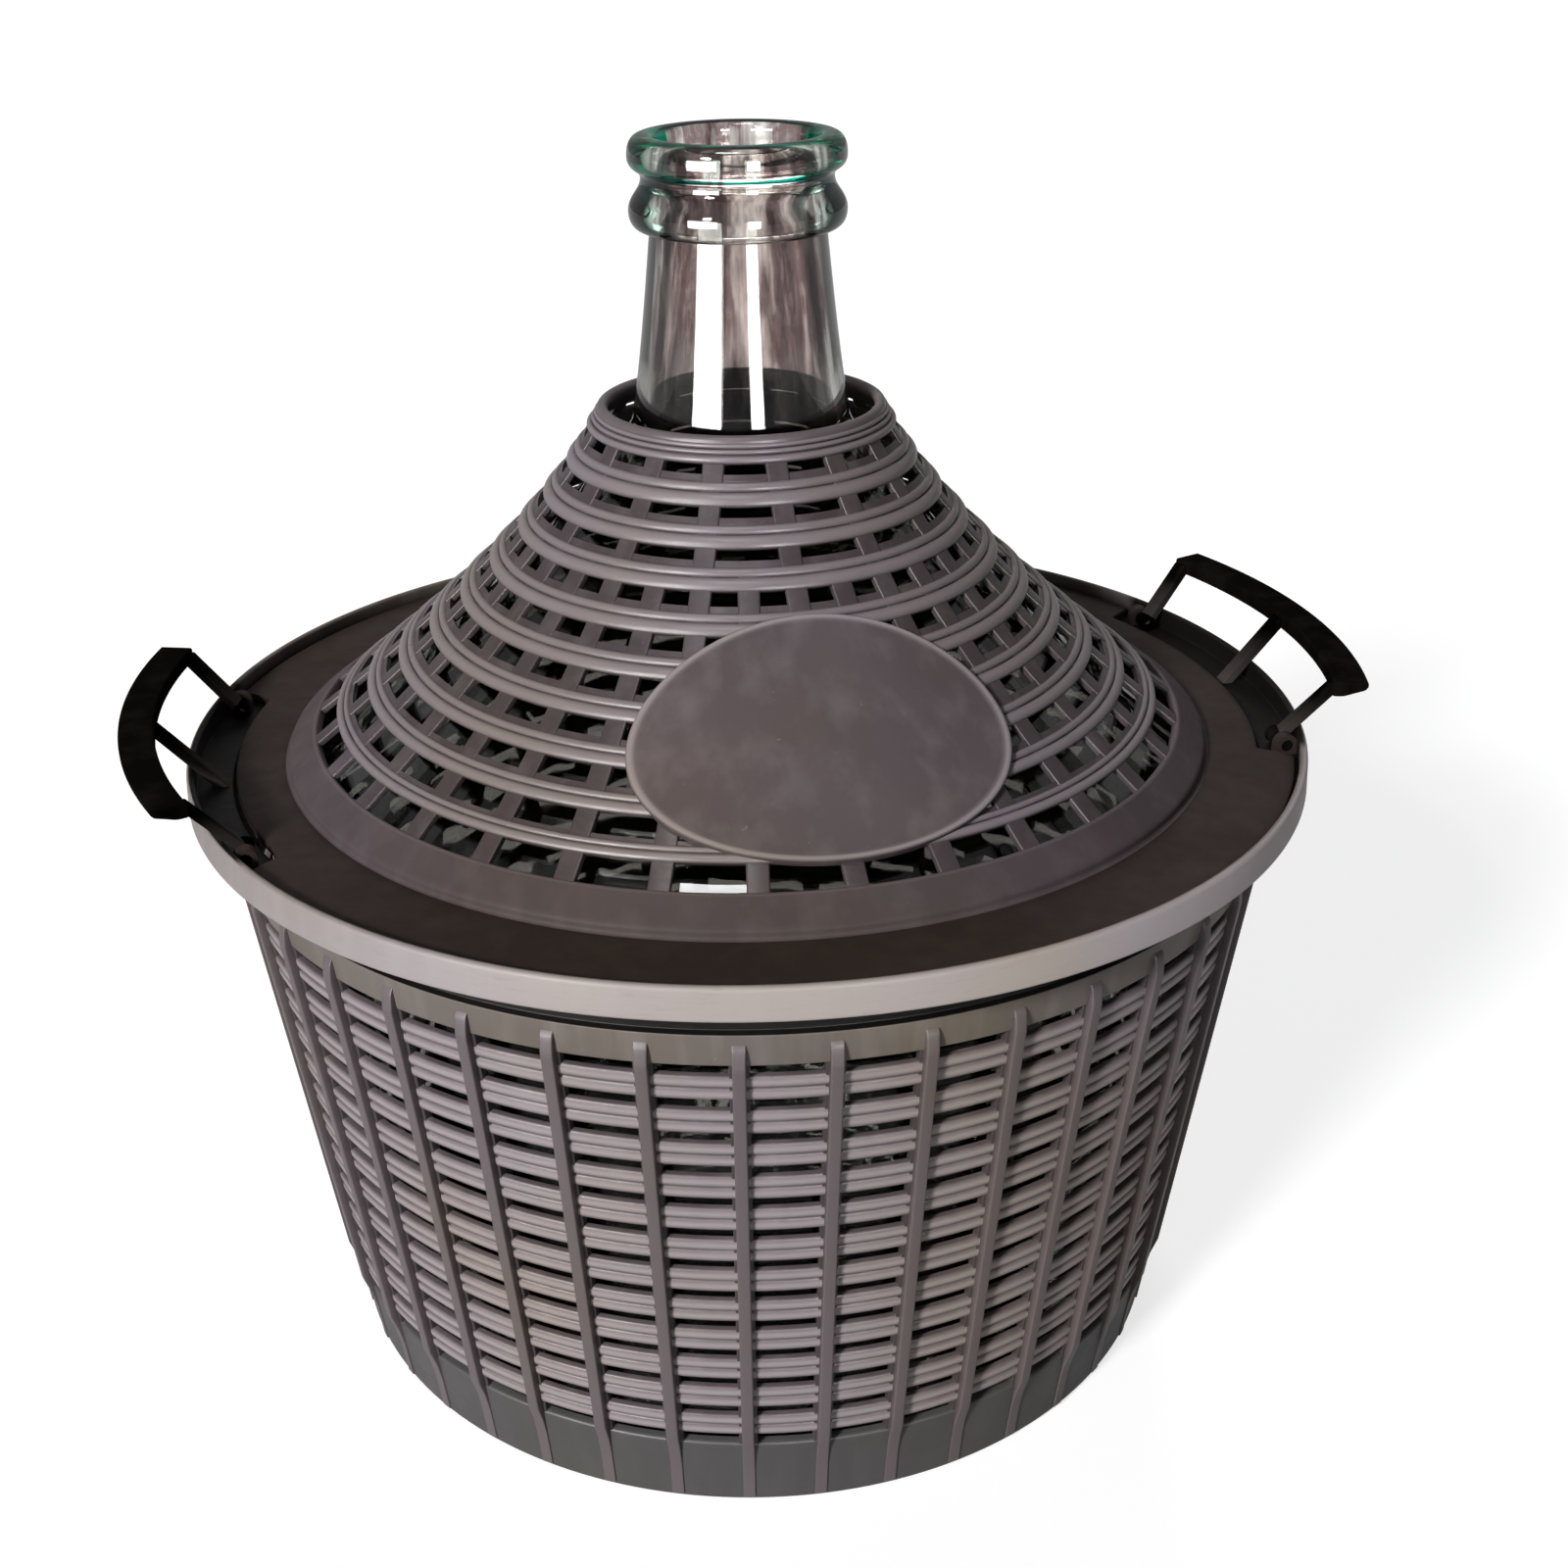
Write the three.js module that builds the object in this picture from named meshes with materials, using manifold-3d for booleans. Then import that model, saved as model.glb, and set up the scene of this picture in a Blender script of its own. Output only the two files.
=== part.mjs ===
// A demijohn in its moulded carrying basket: a slotted tapering basket, a slotted cone lid seated in the rim,
// a hollow glass bottle that stands inside both, and two leaning carrying handles on hinge pins.
import * as THREE from "three";
import { mergeVertices } from "three/addons/utils/BufferGeometryUtils.js";
import Module from "manifold-3d";

const wasm = await Module();
wasm.setup();

// Sizes are in millimetres. The origin is on the floor under the middle of the basket. The plate faces -Y.

// Basket
const RIM_RADIUS = 195; // outside of the rim's lip
const RIM_TOP = 220; // top edge of the lip
const LIP_HEIGHT = 11;
const LIP_THICKNESS = 3;
const LIP_OVERHANG = 12.7; // from the outside of the wall out to the outside of the lip
const LEDGE_THICKNESS = 3.4; // the ledge inside the lip, which carries the lid
const BASE_RADIUS = 150; // outside of the wall at the floor
const WALL = 3.4;
const FLOOR = 4;
const RIB_COUNT = 40;
const RIB_WIDTH = 4;
const RIB_RISE = 2.2; // how far a rib stands out from the wall
const RIB_TOP = 194; // where a rib has sunk into the wall
const RIB_FADE = 7; // height over which it sinks
const POST_WIDTH = 6; // the upright strip of wall left between two slots
const SLOT_ROWS = 13;
const SLOT_PITCH = 12.98;
const SLOT_HEIGHT = 3.6;
const BASE_BAND = 27.8; // smooth wall below the lowest slots

// Lid
const LID_WALL = 3;
const FLANGE_RECESS = 4; // from the lip's top edge down to the flange
const FLANGE_THICKNESS = 3;
const FLANGE_PLAY = 0.8; // between the flange's edge and the lip
const CONE_RADIUS = 160; // foot of the cone
const CONE_STEP = 3; // upright step at the foot of the cone
const CONE_WAIST_RADIUS = 75; // where the straight runs from the cone's foot and top would meet
const CONE_WAIST_HEIGHT = 63; // above the lip's top edge
const COLLAR_RADIUS = 47.5;
const COLLAR_HEIGHT = 114; // above the lip's top edge
const COLLAR_BEAD = 2.4; // radius of the rolled edge round the collar
const BEAD_TUCK_ANGLE = 30; // degrees that the bead turns on below its widest part
const LID_BAYS = 32;
const LID_POST_WIDTH = 7; // the upright strip left between two slots
const LID_COURSES = [4, 3]; // rows in each straight course, with a slot in each bay
const LID_UPPER_ROWS = 3; // rows above them, with a slot across each two bays
const LID_ROW_PITCH = 15.3;
const LID_UPPER_PITCH = 14;
const LID_FOOT_SLOT = 9; // height of the slots in the lowest row
const LID_SLOT_HEIGHT = 5.8;
const LID_UPPER_SLOT = 3.4;
const LID_FOOT_BAND = 9.4; // from the foot of the cone up to where the rows start
const PLATE_WIDTH = 120; // bare oval plate on the front of the cone
const PLATE_HEIGHT = 82;
const PLATE_PLACE = 61; // from the foot of the cone up to the middle of the plate, along the slope
const PLATE_RISE = 1.5;

// Handles
const HANDLE_HALF_ANGLE = 19.5; // degrees either side of the middle of a handle
const HANDLE_LEAN_ANGLE = 38; // degrees outward from upright
const HANDLE_REACH = 18; // top of the grip above the lip's top edge
const GRIP_WIDTH = 13.5;
const GRIP_THICKNESS = 5.2; // at its inner side
const GRIP_EDGE = 2.8; // thickness at its outer edge
const GRIP_BEVEL = 1;
const STRAP = 3.6; // thickness of the leaning straps that carry the grip
const STRAP_WIDTH = 6;
const BARREL_RADIUS = 3; // round foot of the two end straps
const PIN_RADIUS = 1.8;
const EAR_THICKNESS = 4;
const EAR_WALL = 1.8; // round the pin's hole
const EAR_STANDOFF = 1.8; // from an end strap to the ear that holds its pin
const NOTCH_GAP = 5.5; // from a handle's straps in to the edge of the lid's notch
const NOTCH_MARGIN_ANGLE = 4; // degrees that a notch runs past each end of its handle
const NOTCH_CORNER = 5;

// Demijohn
const GLASS = 5;
const BOTTLE_GAP = 5; // between the glass and the basket or the lid
const NECK_GAP = 9; // between the glass and the top of the lid
const HEEL_HEIGHT = 42; // rounded lower edge of the bottle
const PUNT = 14; // hollow under the bottle
const SHOULDER_DROP = 62; // from the lip's top edge down to where the shoulder starts
const SHOULDER_EASE = 22; // how far the shoulder keeps the direction of the side
const NECK_PLAY = 8.9; // between the neck's ring and the inside of the collar
const RING_RISE = 5.6; // how far the ring stands out from the neck
const NECK_LENGTH = 52.5; // from the collar's top up to the underside of the ring
const RING_HEIGHT = 17.5;
const GROOVE_DEPTH = 3.4; // between the ring and the mouth
const MOUTH_HEIGHT = 17;
const MOUTH_ROUND = 2; // rounding of the mouth's edges
const MOUTH_BORE = 26;

// Fits and facets
const SEAT_GAP = 0.3; // between faces that rest on each other
const PIN_GAP = 0.3;
const HANDLE_ROUND = 64; // facets in a full turn
const BOTTLE_ROUND = 24;
const CURVE_STEPS = 3; // straight steps in each curve of an outline
const BEAD_STEPS = 2; // in each half of a bead
const INSIDE_STEPS = 2; // in each curve inside the bottle
const PLATE_STEPS = 12; // in each half of the plate's oval
const WELD = 1e-3;
const OVERCUT = 3; // how far a cutting solid runs past what it cuts
const OUTCUT = 0.5; // the same for the tips that open the slots
const RIDGE_INSET = 0.4; // from the ridge of a slat's back to the back of the posts
const PIN_ROUND = 8;

const point = (x, y) => new THREE.Vector2(x, y);

// Places that follow from the sizes
const wallBays = bays(RIB_COUNT); // a bay of the basket runs from one rib to the next
const lidBays = bays(LID_BAYS);
const wallTopRadius = RIM_RADIUS - LIP_OVERHANG;
const lipInside = RIM_RADIUS - LIP_THICKNESS;
const lipClear = lipInside * Math.cos(wallBays.half); // at the middle of the lip's flats
const flangeTop = RIM_TOP - FLANGE_RECESS;
const flangeUnder = flangeTop - FLANGE_THICKNESS;
const ledgeTop = flangeUnder - SEAT_GAP;
const ledgeUnder = ledgeTop - LEDGE_THICKNESS;
const shoulderRoom = wallTopRadius - CONE_RADIUS - SEAT_GAP; // from the wall in to the foot of the cone
const collarTop = RIM_TOP + COLLAR_HEIGHT;
const collarInside = COLLAR_RADIUS - LID_WALL;
const farOut = 2 * RIM_RADIUS; // clear of everything
const lean = THREE.MathUtils.degToRad(HANDLE_LEAN_ANGLE);
const handleHalf = THREE.MathUtils.degToRad(HANDLE_HALF_ANGLE);
const notchHalf = THREE.MathUtils.degToRad(HANDLE_HALF_ANGLE + NOTCH_MARGIN_ANGLE);
const wallAt = (height) => BASE_RADIUS + ((wallTopRadius - BASE_RADIUS) * height) / ledgeUnder;

// A closed three.js geometry as a solid that can be joined and cut.
function solid(geometry) {
  const bare = new THREE.BufferGeometry();
  bare.setAttribute("position", geometry.getAttribute("position"));
  bare.setIndex(geometry.index);
  const welded = mergeVertices(bare, WELD);
  const corners = welded.index.array;
  const kept = [];
  for (let i = 0; i < corners.length; i += 3) {
    const [a, b, c] = corners.subarray(i, i + 3);
    if (a !== b && b !== c && c !== a) {
      kept.push(a, b, c);
    }
  }
  const vertProperties = welded.getAttribute("position").array;
  return new wasm.Manifold(new wasm.Mesh({ numProp: 3, vertProperties, triVerts: new Uint32Array(kept) }));
}

const joined = (solids) => solids.reduce((whole, piece) => whole.add(piece));

// A closed profile of (radius, height) points, counterclockwise, turned about the upright axis.
function revolved(profile, facets) {
  const closed = profile[0].x === 0 ? profile : [...profile, profile[0]];
  return solid(new THREE.LatheGeometry(closed, facets).rotateX(Math.PI / 2));
}

// An (x, height) outline standing along +X, with sides at the y that two functions give for each x.
function slab(outline, nearSide, farSide) {
  const depth = 1;
  const geometry = new THREE.ExtrudeGeometry(new THREE.Shape(outline), { depth, bevelEnabled: false });
  geometry.rotateX(Math.PI / 2);
  const places = geometry.getAttribute("position");
  for (let i = 0; i < places.count; i++) {
    const side = places.getY(i) < -depth / 2 ? nearSide : farSide;
    places.setY(i, side(places.getX(i)));
  }
  return solid(geometry);
}

// A (radius, height) outline as a block of even thickness, standing at an angle about the upright axis.
function block(outline, depth, angle) {
  const geometry = new THREE.ExtrudeGeometry(new THREE.Shape(outline), { depth, bevelEnabled: false });
  return solid(geometry.translate(0, 0, -depth / 2).rotateX(Math.PI / 2).rotateZ(angle));
}

// An (x, y) outline raised from one height to another.
function raised(outline, from, to) {
  const depth = to - from;
  const geometry = new THREE.ExtrudeGeometry(new THREE.Shape(outline), { depth, bevelEnabled: false });
  return solid(geometry.translate(0, 0, from));
}

// A round bar along Y.
function crossBar(radius, x, fromY, toY, height) {
  const bar = new THREE.CylinderGeometry(radius, radius, Math.abs(toY - fromY), PIN_ROUND);
  return solid(bar.translate(x, (fromY + toY) / 2, height));
}

const opposite = (side) => (x) => -side(x);

// A ring of equal bays set edge to edge. One bay is made about +X: edge gives the y of its side for each x,
// inFrom the line so far in from that side, and at the place on the bay's middle for a radius at its edges.
// Its corners are then kept in polar form, each with its angle as a share of half a bay, and its triangles
// without those on its two sides, so that copies of it close into a ring.
function bays(count) {
  const half = Math.PI / count;
  const edge = (x) => x * Math.tan(half);
  const inFrom = (inset) => (x) => edge(x) - inset / Math.cos(half);
  const at = (radius, height) => point(radius * Math.cos(half), height);
  function open(bay) {
    const mesh = bay.getMesh();
    const spots = [];
    for (let v = 0; v < mesh.numVert; v++) {
      const [x, y, height] = mesh.vertProperties.subarray(v * mesh.numProp, v * mesh.numProp + 3);
      const radius = Math.hypot(x, y);
      const share = Math.atan2(y, x) / half;
      const onEdge = Math.abs(Math.abs(y) - edge(x)) < WELD;
      spots.push({ radius, height, share: onEdge ? Math.sign(share) : share, onAxis: radius < WELD });
    }
    const triangles = [];
    for (let i = 0; i < mesh.triVerts.length; i += 3) {
      const corners = [...mesh.triVerts.subarray(i, i + 3)];
      const onSide = (side) => corners.every((v) => spots[v].share === side || spots[v].onAxis);
      if (!onSide(-1) && !onSide(1)) {
        triangles.push(corners);
      }
    }
    return { spots, triangles };
  }
  // The whole ring, every second bay mirrored, with the first one's middle at an angle.
  function ring(bayFor, firstAngle) {
    const places = [];
    const corners = [];
    for (let copy = 0; copy < count; copy++) {
      const { spots, triangles } = bayFor(copy);
      const hand = copy % 2 ? -1 : 1;
      const first = places.length / 3;
      for (const { radius, height, share } of spots) {
        const turn = firstAngle + (2 * copy + hand * share) * half;
        places.push(radius * Math.cos(turn), radius * Math.sin(turn), height);
      }
      for (const [a, b, c] of triangles) {
        corners.push(first + a, first + (hand > 0 ? b : c), first + (hand > 0 ? c : b));
      }
    }
    const geometry = new THREE.BufferGeometry();
    geometry.setAttribute("position", new THREE.Float32BufferAttribute(places, 3));
    return solid(geometry.setIndex(corners));
  }
  return { half, edge, inFrom, at, open, ring };
}

// A place on a broken line: so far along it, and so far out from it to the right of its direction.
function beside(line, along, out) {
  let rest = along;
  let i = 0;
  while (i < line.length - 2 && rest > line[i].distanceTo(line[i + 1])) {
    rest -= line[i].distanceTo(line[i + 1]);
    i++;
  }
  const direction = line[i + 1].clone().sub(line[i]).normalize();
  const normal = point(direction.y, -direction.x);
  return line[i].clone().addScaledVector(direction, rest).addScaledVector(normal, out);
}

// The outline of the cutter for one upright row of slots in a wall. Between the slots it leaves slats with a
// flat face and a V-shaped back.
function slotComb(line, rows, first, pitch, slot, wall) {
  const ridge = wall - RIDGE_INSET;
  const tip = slot / 2 - (OUTCUT * (pitch - slot)) / (2 * ridge);
  const last = first + (rows - 1) * pitch;
  const outline = [beside(line, first - slot / 2, -wall - OVERCUT), beside(line, first - slot / 2, OUTCUT)];
  for (let row = 0; row < rows - 1; row++) {
    const middle = first + row * pitch;
    outline.push(beside(line, middle + tip, OUTCUT));
    outline.push(beside(line, middle + pitch / 2, -ridge));
    outline.push(beside(line, middle + pitch - tip, OUTCUT));
  }
  outline.push(beside(line, last + slot / 2, OUTCUT), beside(line, last + slot / 2, -wall - OVERCUT));
  return outline;
}

// Basket
function makeBasket() {
  const { edge, at } = wallBays;
  const section = [
    at(0, 0),
    at(BASE_RADIUS, 0),
    at(wallTopRadius, ledgeUnder),
    at(lipInside, ledgeUnder),
    at(lipInside, RIM_TOP - LIP_HEIGHT),
    at(RIM_RADIUS, RIM_TOP - LIP_HEIGHT),
    at(RIM_RADIUS, RIM_TOP),
    at(lipInside, RIM_TOP),
    at(lipInside, ledgeTop),
    at(wallTopRadius - WALL, ledgeTop),
    at(wallAt(FLOOR) - WALL, FLOOR),
    at(0, FLOOR),
  ];
  const face = [at(BASE_RADIUS, 0), at(wallTopRadius, ledgeUnder)];
  const comb = slotComb(face, SLOT_ROWS, BASE_BAND + SLOT_HEIGHT / 2, SLOT_PITCH, SLOT_HEIGHT, WALL);
  const post = wallBays.inFrom(POST_WIDTH / 2);
  const ribSection = [
    at(BASE_RADIUS - WALL / 2, 0),
    at(BASE_RADIUS + RIB_RISE, 0),
    at(wallAt(RIB_TOP - RIB_FADE) + RIB_RISE, RIB_TOP - RIB_FADE),
    at(wallAt(RIB_TOP) - WALL / 2, RIB_TOP),
  ];
  const ribSide = wallBays.inFrom(RIB_WIDTH / 2);
  const bay = wallBays.open(
    slab(section, opposite(edge), edge)
      .add(slab(ribSection, ribSide, edge))
      .add(slab(ribSection, opposite(edge), opposite(ribSide)))
      .subtract(slab(comb, opposite(post), post)),
  );
  const seats = [-1, 1].flatMap((side) => [-1, 1].map((end) => [side, end]));
  const ears = seats.map(([side, end]) => hingeEar(side, end));
  return joined([wallBays.ring(() => bay, 0), ...ears]);
}

// Hinge places, for the handle on the +X side
const strapOutside = (height) => lipClear - SEAT_GAP + (height - RIM_TOP) * Math.tan(lean);
const strapDepth = STRAP / Math.cos(lean);
const hingeHeight = ledgeTop + SEAT_GAP + BARREL_RADIUS;
const hingeRadius = strapOutside(hingeHeight) - strapDepth / 2;
const endStrapAngle = handleHalf - STRAP_WIDTH / 2 / hingeRadius;
const hingeX = hingeRadius * Math.cos(endStrapAngle);
const endStrapY = hingeRadius * Math.sin(endStrapAngle);
const earStart = endStrapY + STRAP_WIDTH / 2 + EAR_STANDOFF;
const earEnd = earStart + EAR_THICKNESS;

// A block on the basket's ledge with the hole for one hinge pin.
function hingeEar(side, end) {
  const reach = PIN_RADIUS + PIN_GAP + EAR_WALL;
  const corner = (x, y) => point(side * x, end * y);
  const outline = [
    corner(hingeX - reach, earStart),
    corner(hingeX + reach, earStart),
    corner(hingeX + reach, earEnd),
    corner(hingeX - reach, earEnd),
  ];
  const hole = crossBar(PIN_RADIUS + PIN_GAP, side * hingeX, end * earStart, end * earEnd, hingeHeight);
  return raised(outline, ledgeTop - LEDGE_THICKNESS / 2, hingeHeight + reach).subtract(hole);
}

// Lid
const coneCurve = new THREE.QuadraticBezierCurve(
  point(CONE_RADIUS, flangeTop + CONE_STEP),
  point(CONE_WAIST_RADIUS, RIM_TOP + CONE_WAIST_HEIGHT),
  point(COLLAR_RADIUS, collarTop),
);
const coneLength = coneCurve.getLength();
const lowerRows = LID_COURSES.reduce((sum, rows) => sum + rows);
const lowerTop = LID_FOOT_BAND + lowerRows * LID_ROW_PITCH; // where the upper rows take over, along the slope
const lidRow = (row) => LID_FOOT_BAND + (row + 0.5) * LID_ROW_PITCH; // middle of a lower row

// The cone's face as straight courses between points of its curve.
function coneCourses() {
  const ends = [0];
  let rows = 0;
  for (const course of LID_COURSES) {
    rows += course;
    ends.push((LID_FOOT_BAND + rows * LID_ROW_PITCH) / coneLength);
  }
  ends.push(1);
  return ends.map((end) => coneCurve.getPointAt(end));
}

// Which slots of the lower rows the plate covers, in the bay so far round from the middle of the plate.
function coveredRows(courses, angle) {
  const covered = [];
  for (let row = 0; row < lowerRows; row++) {
    const across = (angle * beside(courses, lidRow(row), 0).x) / (PLATE_WIDTH / 2);
    const up = (lidRow(row) - PLATE_PLACE) / (PLATE_HEIGHT / 2);
    covered.push(Math.hypot(across, up) < 1);
  }
  return covered;
}

// The plan of the notch in the lid's flange that a handle stands in.
function notchOutline(side) {
  const radius = strapOutside(flangeTop) - strapDepth - NOTCH_GAP;
  const corner = NOTCH_CORNER / radius;
  const at = (r, angle) => [r * Math.cos(angle), r * Math.sin(angle)];
  const path = new THREE.Path();
  path.moveTo(...at(farOut, -notchHalf));
  path.lineTo(...at(radius + NOTCH_CORNER, -notchHalf));
  path.quadraticCurveTo(...at(radius, -notchHalf), ...at(radius, corner - notchHalf));
  path.absarc(0, 0, radius, corner - notchHalf, notchHalf - corner);
  path.quadraticCurveTo(...at(radius, notchHalf), ...at(radius + NOTCH_CORNER, notchHalf));
  path.lineTo(...at(farOut, notchHalf));
  return path.getPoints(CURVE_STEPS).map((p) => point(side * p.x, p.y));
}

// The bare oval plate: a patch of a thicker cone inside an oval that looks square out of the cone's front.
function makePlate(courses) {
  const from = PLATE_PLACE - PLATE_HEIGHT / 2 - OVERCUT;
  const to = PLATE_PLACE + PLATE_HEIGHT / 2 + OVERCUT;
  const bend = courses[0].distanceTo(courses[1]);
  const section = [
    ...[from, bend, to].map((along) => beside(courses, along, PLATE_RISE)),
    ...[to, bend, from].map((along) => beside(courses, along, -LID_WALL)),
  ].map((p) => lidBays.at(p.x, p.y));
  const bay = lidBays.open(slab(section, opposite(lidBays.edge), lidBays.edge));
  const cone = lidBays.ring(() => bay, -lidBays.half);
  const middle = beside(courses, PLATE_PLACE, 0);
  const up = courses[1].clone().sub(courses[0]).normalize();
  const oval = new THREE.Shape().absellipse(0, 0, PLATE_WIDTH / 2, PLATE_HEIGHT / 2, 0, 2 * Math.PI);
  const depth = PLATE_HEIGHT;
  const sides = { depth, bevelEnabled: false, curveSegments: PLATE_STEPS };
  const prism = new THREE.ExtrudeGeometry(oval, sides).translate(0, 0, -depth / 2);
  prism.rotateX(Math.atan2(up.y, -up.x)).translate(0, -middle.x, middle.y);
  return cone.intersect(solid(prism));
}

// The section through the lid's flange, cone and collar.
function lidSection(courses) {
  const flangeRadius = lipClear - FLANGE_PLAY;
  const bead = new THREE.Path();
  const beadMiddle = COLLAR_RADIUS - LID_WALL / 2;
  const tuck = THREE.MathUtils.degToRad(BEAD_TUCK_ANGLE);
  bead.absarc(beadMiddle, collarTop - COLLAR_BEAD, COLLAR_BEAD, -tuck, Math.PI + tuck);
  let along = 0;
  const insideBends = [];
  for (let i = 1; i < courses.length - 1; i++) {
    along += courses[i - 1].distanceTo(courses[i]);
    insideBends.unshift(beside(courses, along, -LID_WALL));
  }
  return [
    point(flangeRadius, flangeUnder),
    point(flangeRadius, flangeTop),
    point(CONE_RADIUS, flangeTop),
    ...courses.slice(0, -1),
    ...bead.getPoints(BEAD_STEPS),
    ...insideBends,
    beside(courses, LID_WALL, -LID_WALL),
    point(CONE_RADIUS - LID_WALL, flangeUnder),
  ].map((p) => lidBays.at(p.x, p.y));
}

function makeLid() {
  const { half, edge } = lidBays;
  const courses = coneCourses();
  const face = courses.map((p) => lidBays.at(p.x, p.y));
  const post = lidBays.inFrom(LID_POST_WIDTH / 2);
  const acrossEdge = lidBays.inFrom(-OVERCUT);
  const firstUpper = lowerTop + LID_UPPER_PITCH / 2;
  const upper = slotComb(face, LID_UPPER_ROWS, firstUpper, LID_UPPER_PITCH, LID_UPPER_SLOT, LID_WALL);
  const upperSlots = slab(upper, opposite(acrossEdge), post);
  const plain = slab(lidSection(courses), opposite(edge), edge).subtract(upperSlots);
  const lower = (rows, first, slot) => {
    const comb = slotComb(face, rows, lidRow(first), LID_ROW_PITCH, slot, LID_WALL);
    return slab(comb, opposite(post), post);
  };
  const front = (3 * Math.PI) / 2; // the plate's side, counted from +X
  const firstAngle = -half; // so that a post stands behind the middle of the plate
  const bayFor = (copy) => {
    const covered = coveredRows(courses, firstAngle + 2 * copy * half - front);
    let bay = covered[0] ? plain : plain.subtract(lower(1, 0, LID_FOOT_SLOT));
    let start = 1;
    for (let row = 1; row <= lowerRows; row++) {
      if (row === lowerRows || covered[row]) {
        bay = row > start ? bay.subtract(lower(row - start, start, LID_SLOT_HEIGHT)) : bay;
        start = row + 1;
      }
    }
    return lidBays.open(bay);
  };
  const notches = [-1, 1].map((side) => raised(notchOutline(side), flangeUnder - OVERCUT, RIM_TOP));
  return lidBays.ring(bayFor, firstAngle).add(makePlate(courses)).subtract(joined(notches));
}

// Handles
// A curved grip on three leaning straps. The two end straps have round feet and pins that turn in the ears.
function makeHandle(side) {
  const gripTop = RIM_TOP + HANDLE_REACH;
  const gripUnder = gripTop - GRIP_THICKNESS;
  const edgeUnder = gripTop - GRIP_EDGE;
  const gripInside = strapOutside(gripTop) - strapDepth;
  const gripOutside = gripInside + GRIP_WIDTH;
  const gripProfile = [
    point(gripInside, gripUnder),
    point(gripOutside - GRIP_BEVEL, edgeUnder),
    point(gripOutside, gripTop - GRIP_BEVEL),
    point(gripOutside - GRIP_BEVEL, gripTop),
    point(gripInside + GRIP_BEVEL, gripTop),
    point(gripInside, gripTop - GRIP_BEVEL),
  ];
  const spread = farOut * Math.tan(handleHalf);
  const slice = raised(
    [point(0, 0), point(farOut, -spread), point(farOut, spread)],
    gripUnder - OVERCUT,
    gripTop + OVERCUT,
  );
  const grip = revolved(gripProfile, HANDLE_ROUND).intersect(slice);
  const strapTop = gripTop - GRIP_BEVEL;
  const strap = (foot, angle) =>
    block(
      [
        point(strapOutside(foot) - strapDepth, foot),
        point(strapOutside(foot), foot),
        point(strapOutside(strapTop), strapTop),
        point(strapOutside(strapTop) - strapDepth, strapTop),
      ],
      STRAP_WIDTH,
      angle,
    );
  const pieces = [grip, strap(ledgeTop + SEAT_GAP, 0)];
  for (const end of [-1, 1]) {
    const strapEnd = end * (endStrapY + STRAP_WIDTH / 2);
    pieces.push(strap(hingeHeight, end * endStrapAngle));
    pieces.push(crossBar(BARREL_RADIUS, hingeX, end * (endStrapY - STRAP_WIDTH / 2), strapEnd, hingeHeight));
    pieces.push(crossBar(PIN_RADIUS, hingeX, end * endStrapY, end * earEnd, hingeHeight));
  }
  const right = geometryOf(joined(pieces));
  return side > 0 ? right : right.rotateZ(Math.PI);
}

// Demijohn
const bottleBase = FLOOR + SEAT_GAP;
const wallInside = (height) => (wallAt(height) - WALL) * Math.cos(wallBays.half);

// One side of the glass from its foot up to the neck, so far in from the basket and the lid.
function bottleSide(gap, foot, neckRadius, steps) {
  const heelTop = bottleBase + HEEL_HEIGHT;
  const heel = point(wallInside(heelTop) - gap, heelTop);
  const shoulderStart = RIM_TOP - SHOULDER_DROP;
  const shoulder = point(wallInside(shoulderStart) - gap, shoulderStart);
  const rising = shoulder.clone().sub(heel).normalize();
  const inset = LID_WALL + gap;
  const lowerWay = coneCurve.v1.clone().sub(coneCurve.v0).normalize();
  const upperWay = coneCurve.v2.clone().sub(coneCurve.v1).normalize();
  const topInset = inset + NECK_GAP - BOTTLE_GAP;
  const inward = (p, way, by) => p.clone().add(point(-way.y, way.x).multiplyScalar(by));
  const coneFoot = inward(coneCurve.v0, lowerWay, inset);
  const coneTop = inward(coneCurve.v2, upperWay, topInset);
  const middleWay = lowerWay.clone().add(upperWay).normalize();
  const neckBend = coneTop.y + ((coneTop.x - neckRadius) * upperWay.y) / -upperWay.x;
  const path = new THREE.Path();
  path.moveTo(heel.x - HEEL_HEIGHT, foot);
  path.quadraticCurveTo(heel.x, foot, heel.x, heel.y);
  path.lineTo(shoulder.x, shoulder.y);
  const start = shoulder.clone().addScaledVector(rising, SHOULDER_EASE);
  const finish = coneFoot.clone().addScaledVector(lowerWay, -shoulderRoom);
  path.bezierCurveTo(start.x, start.y, finish.x, finish.y, coneFoot.x, coneFoot.y);
  const waist = inward(coneCurve.v1, middleWay, inset);
  path.quadraticCurveTo(waist.x, waist.y, coneTop.x, coneTop.y);
  path.quadraticCurveTo(neckRadius, neckBend, neckRadius, collarTop + NECK_LENGTH);
  return path.getPoints(steps);
}

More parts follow.
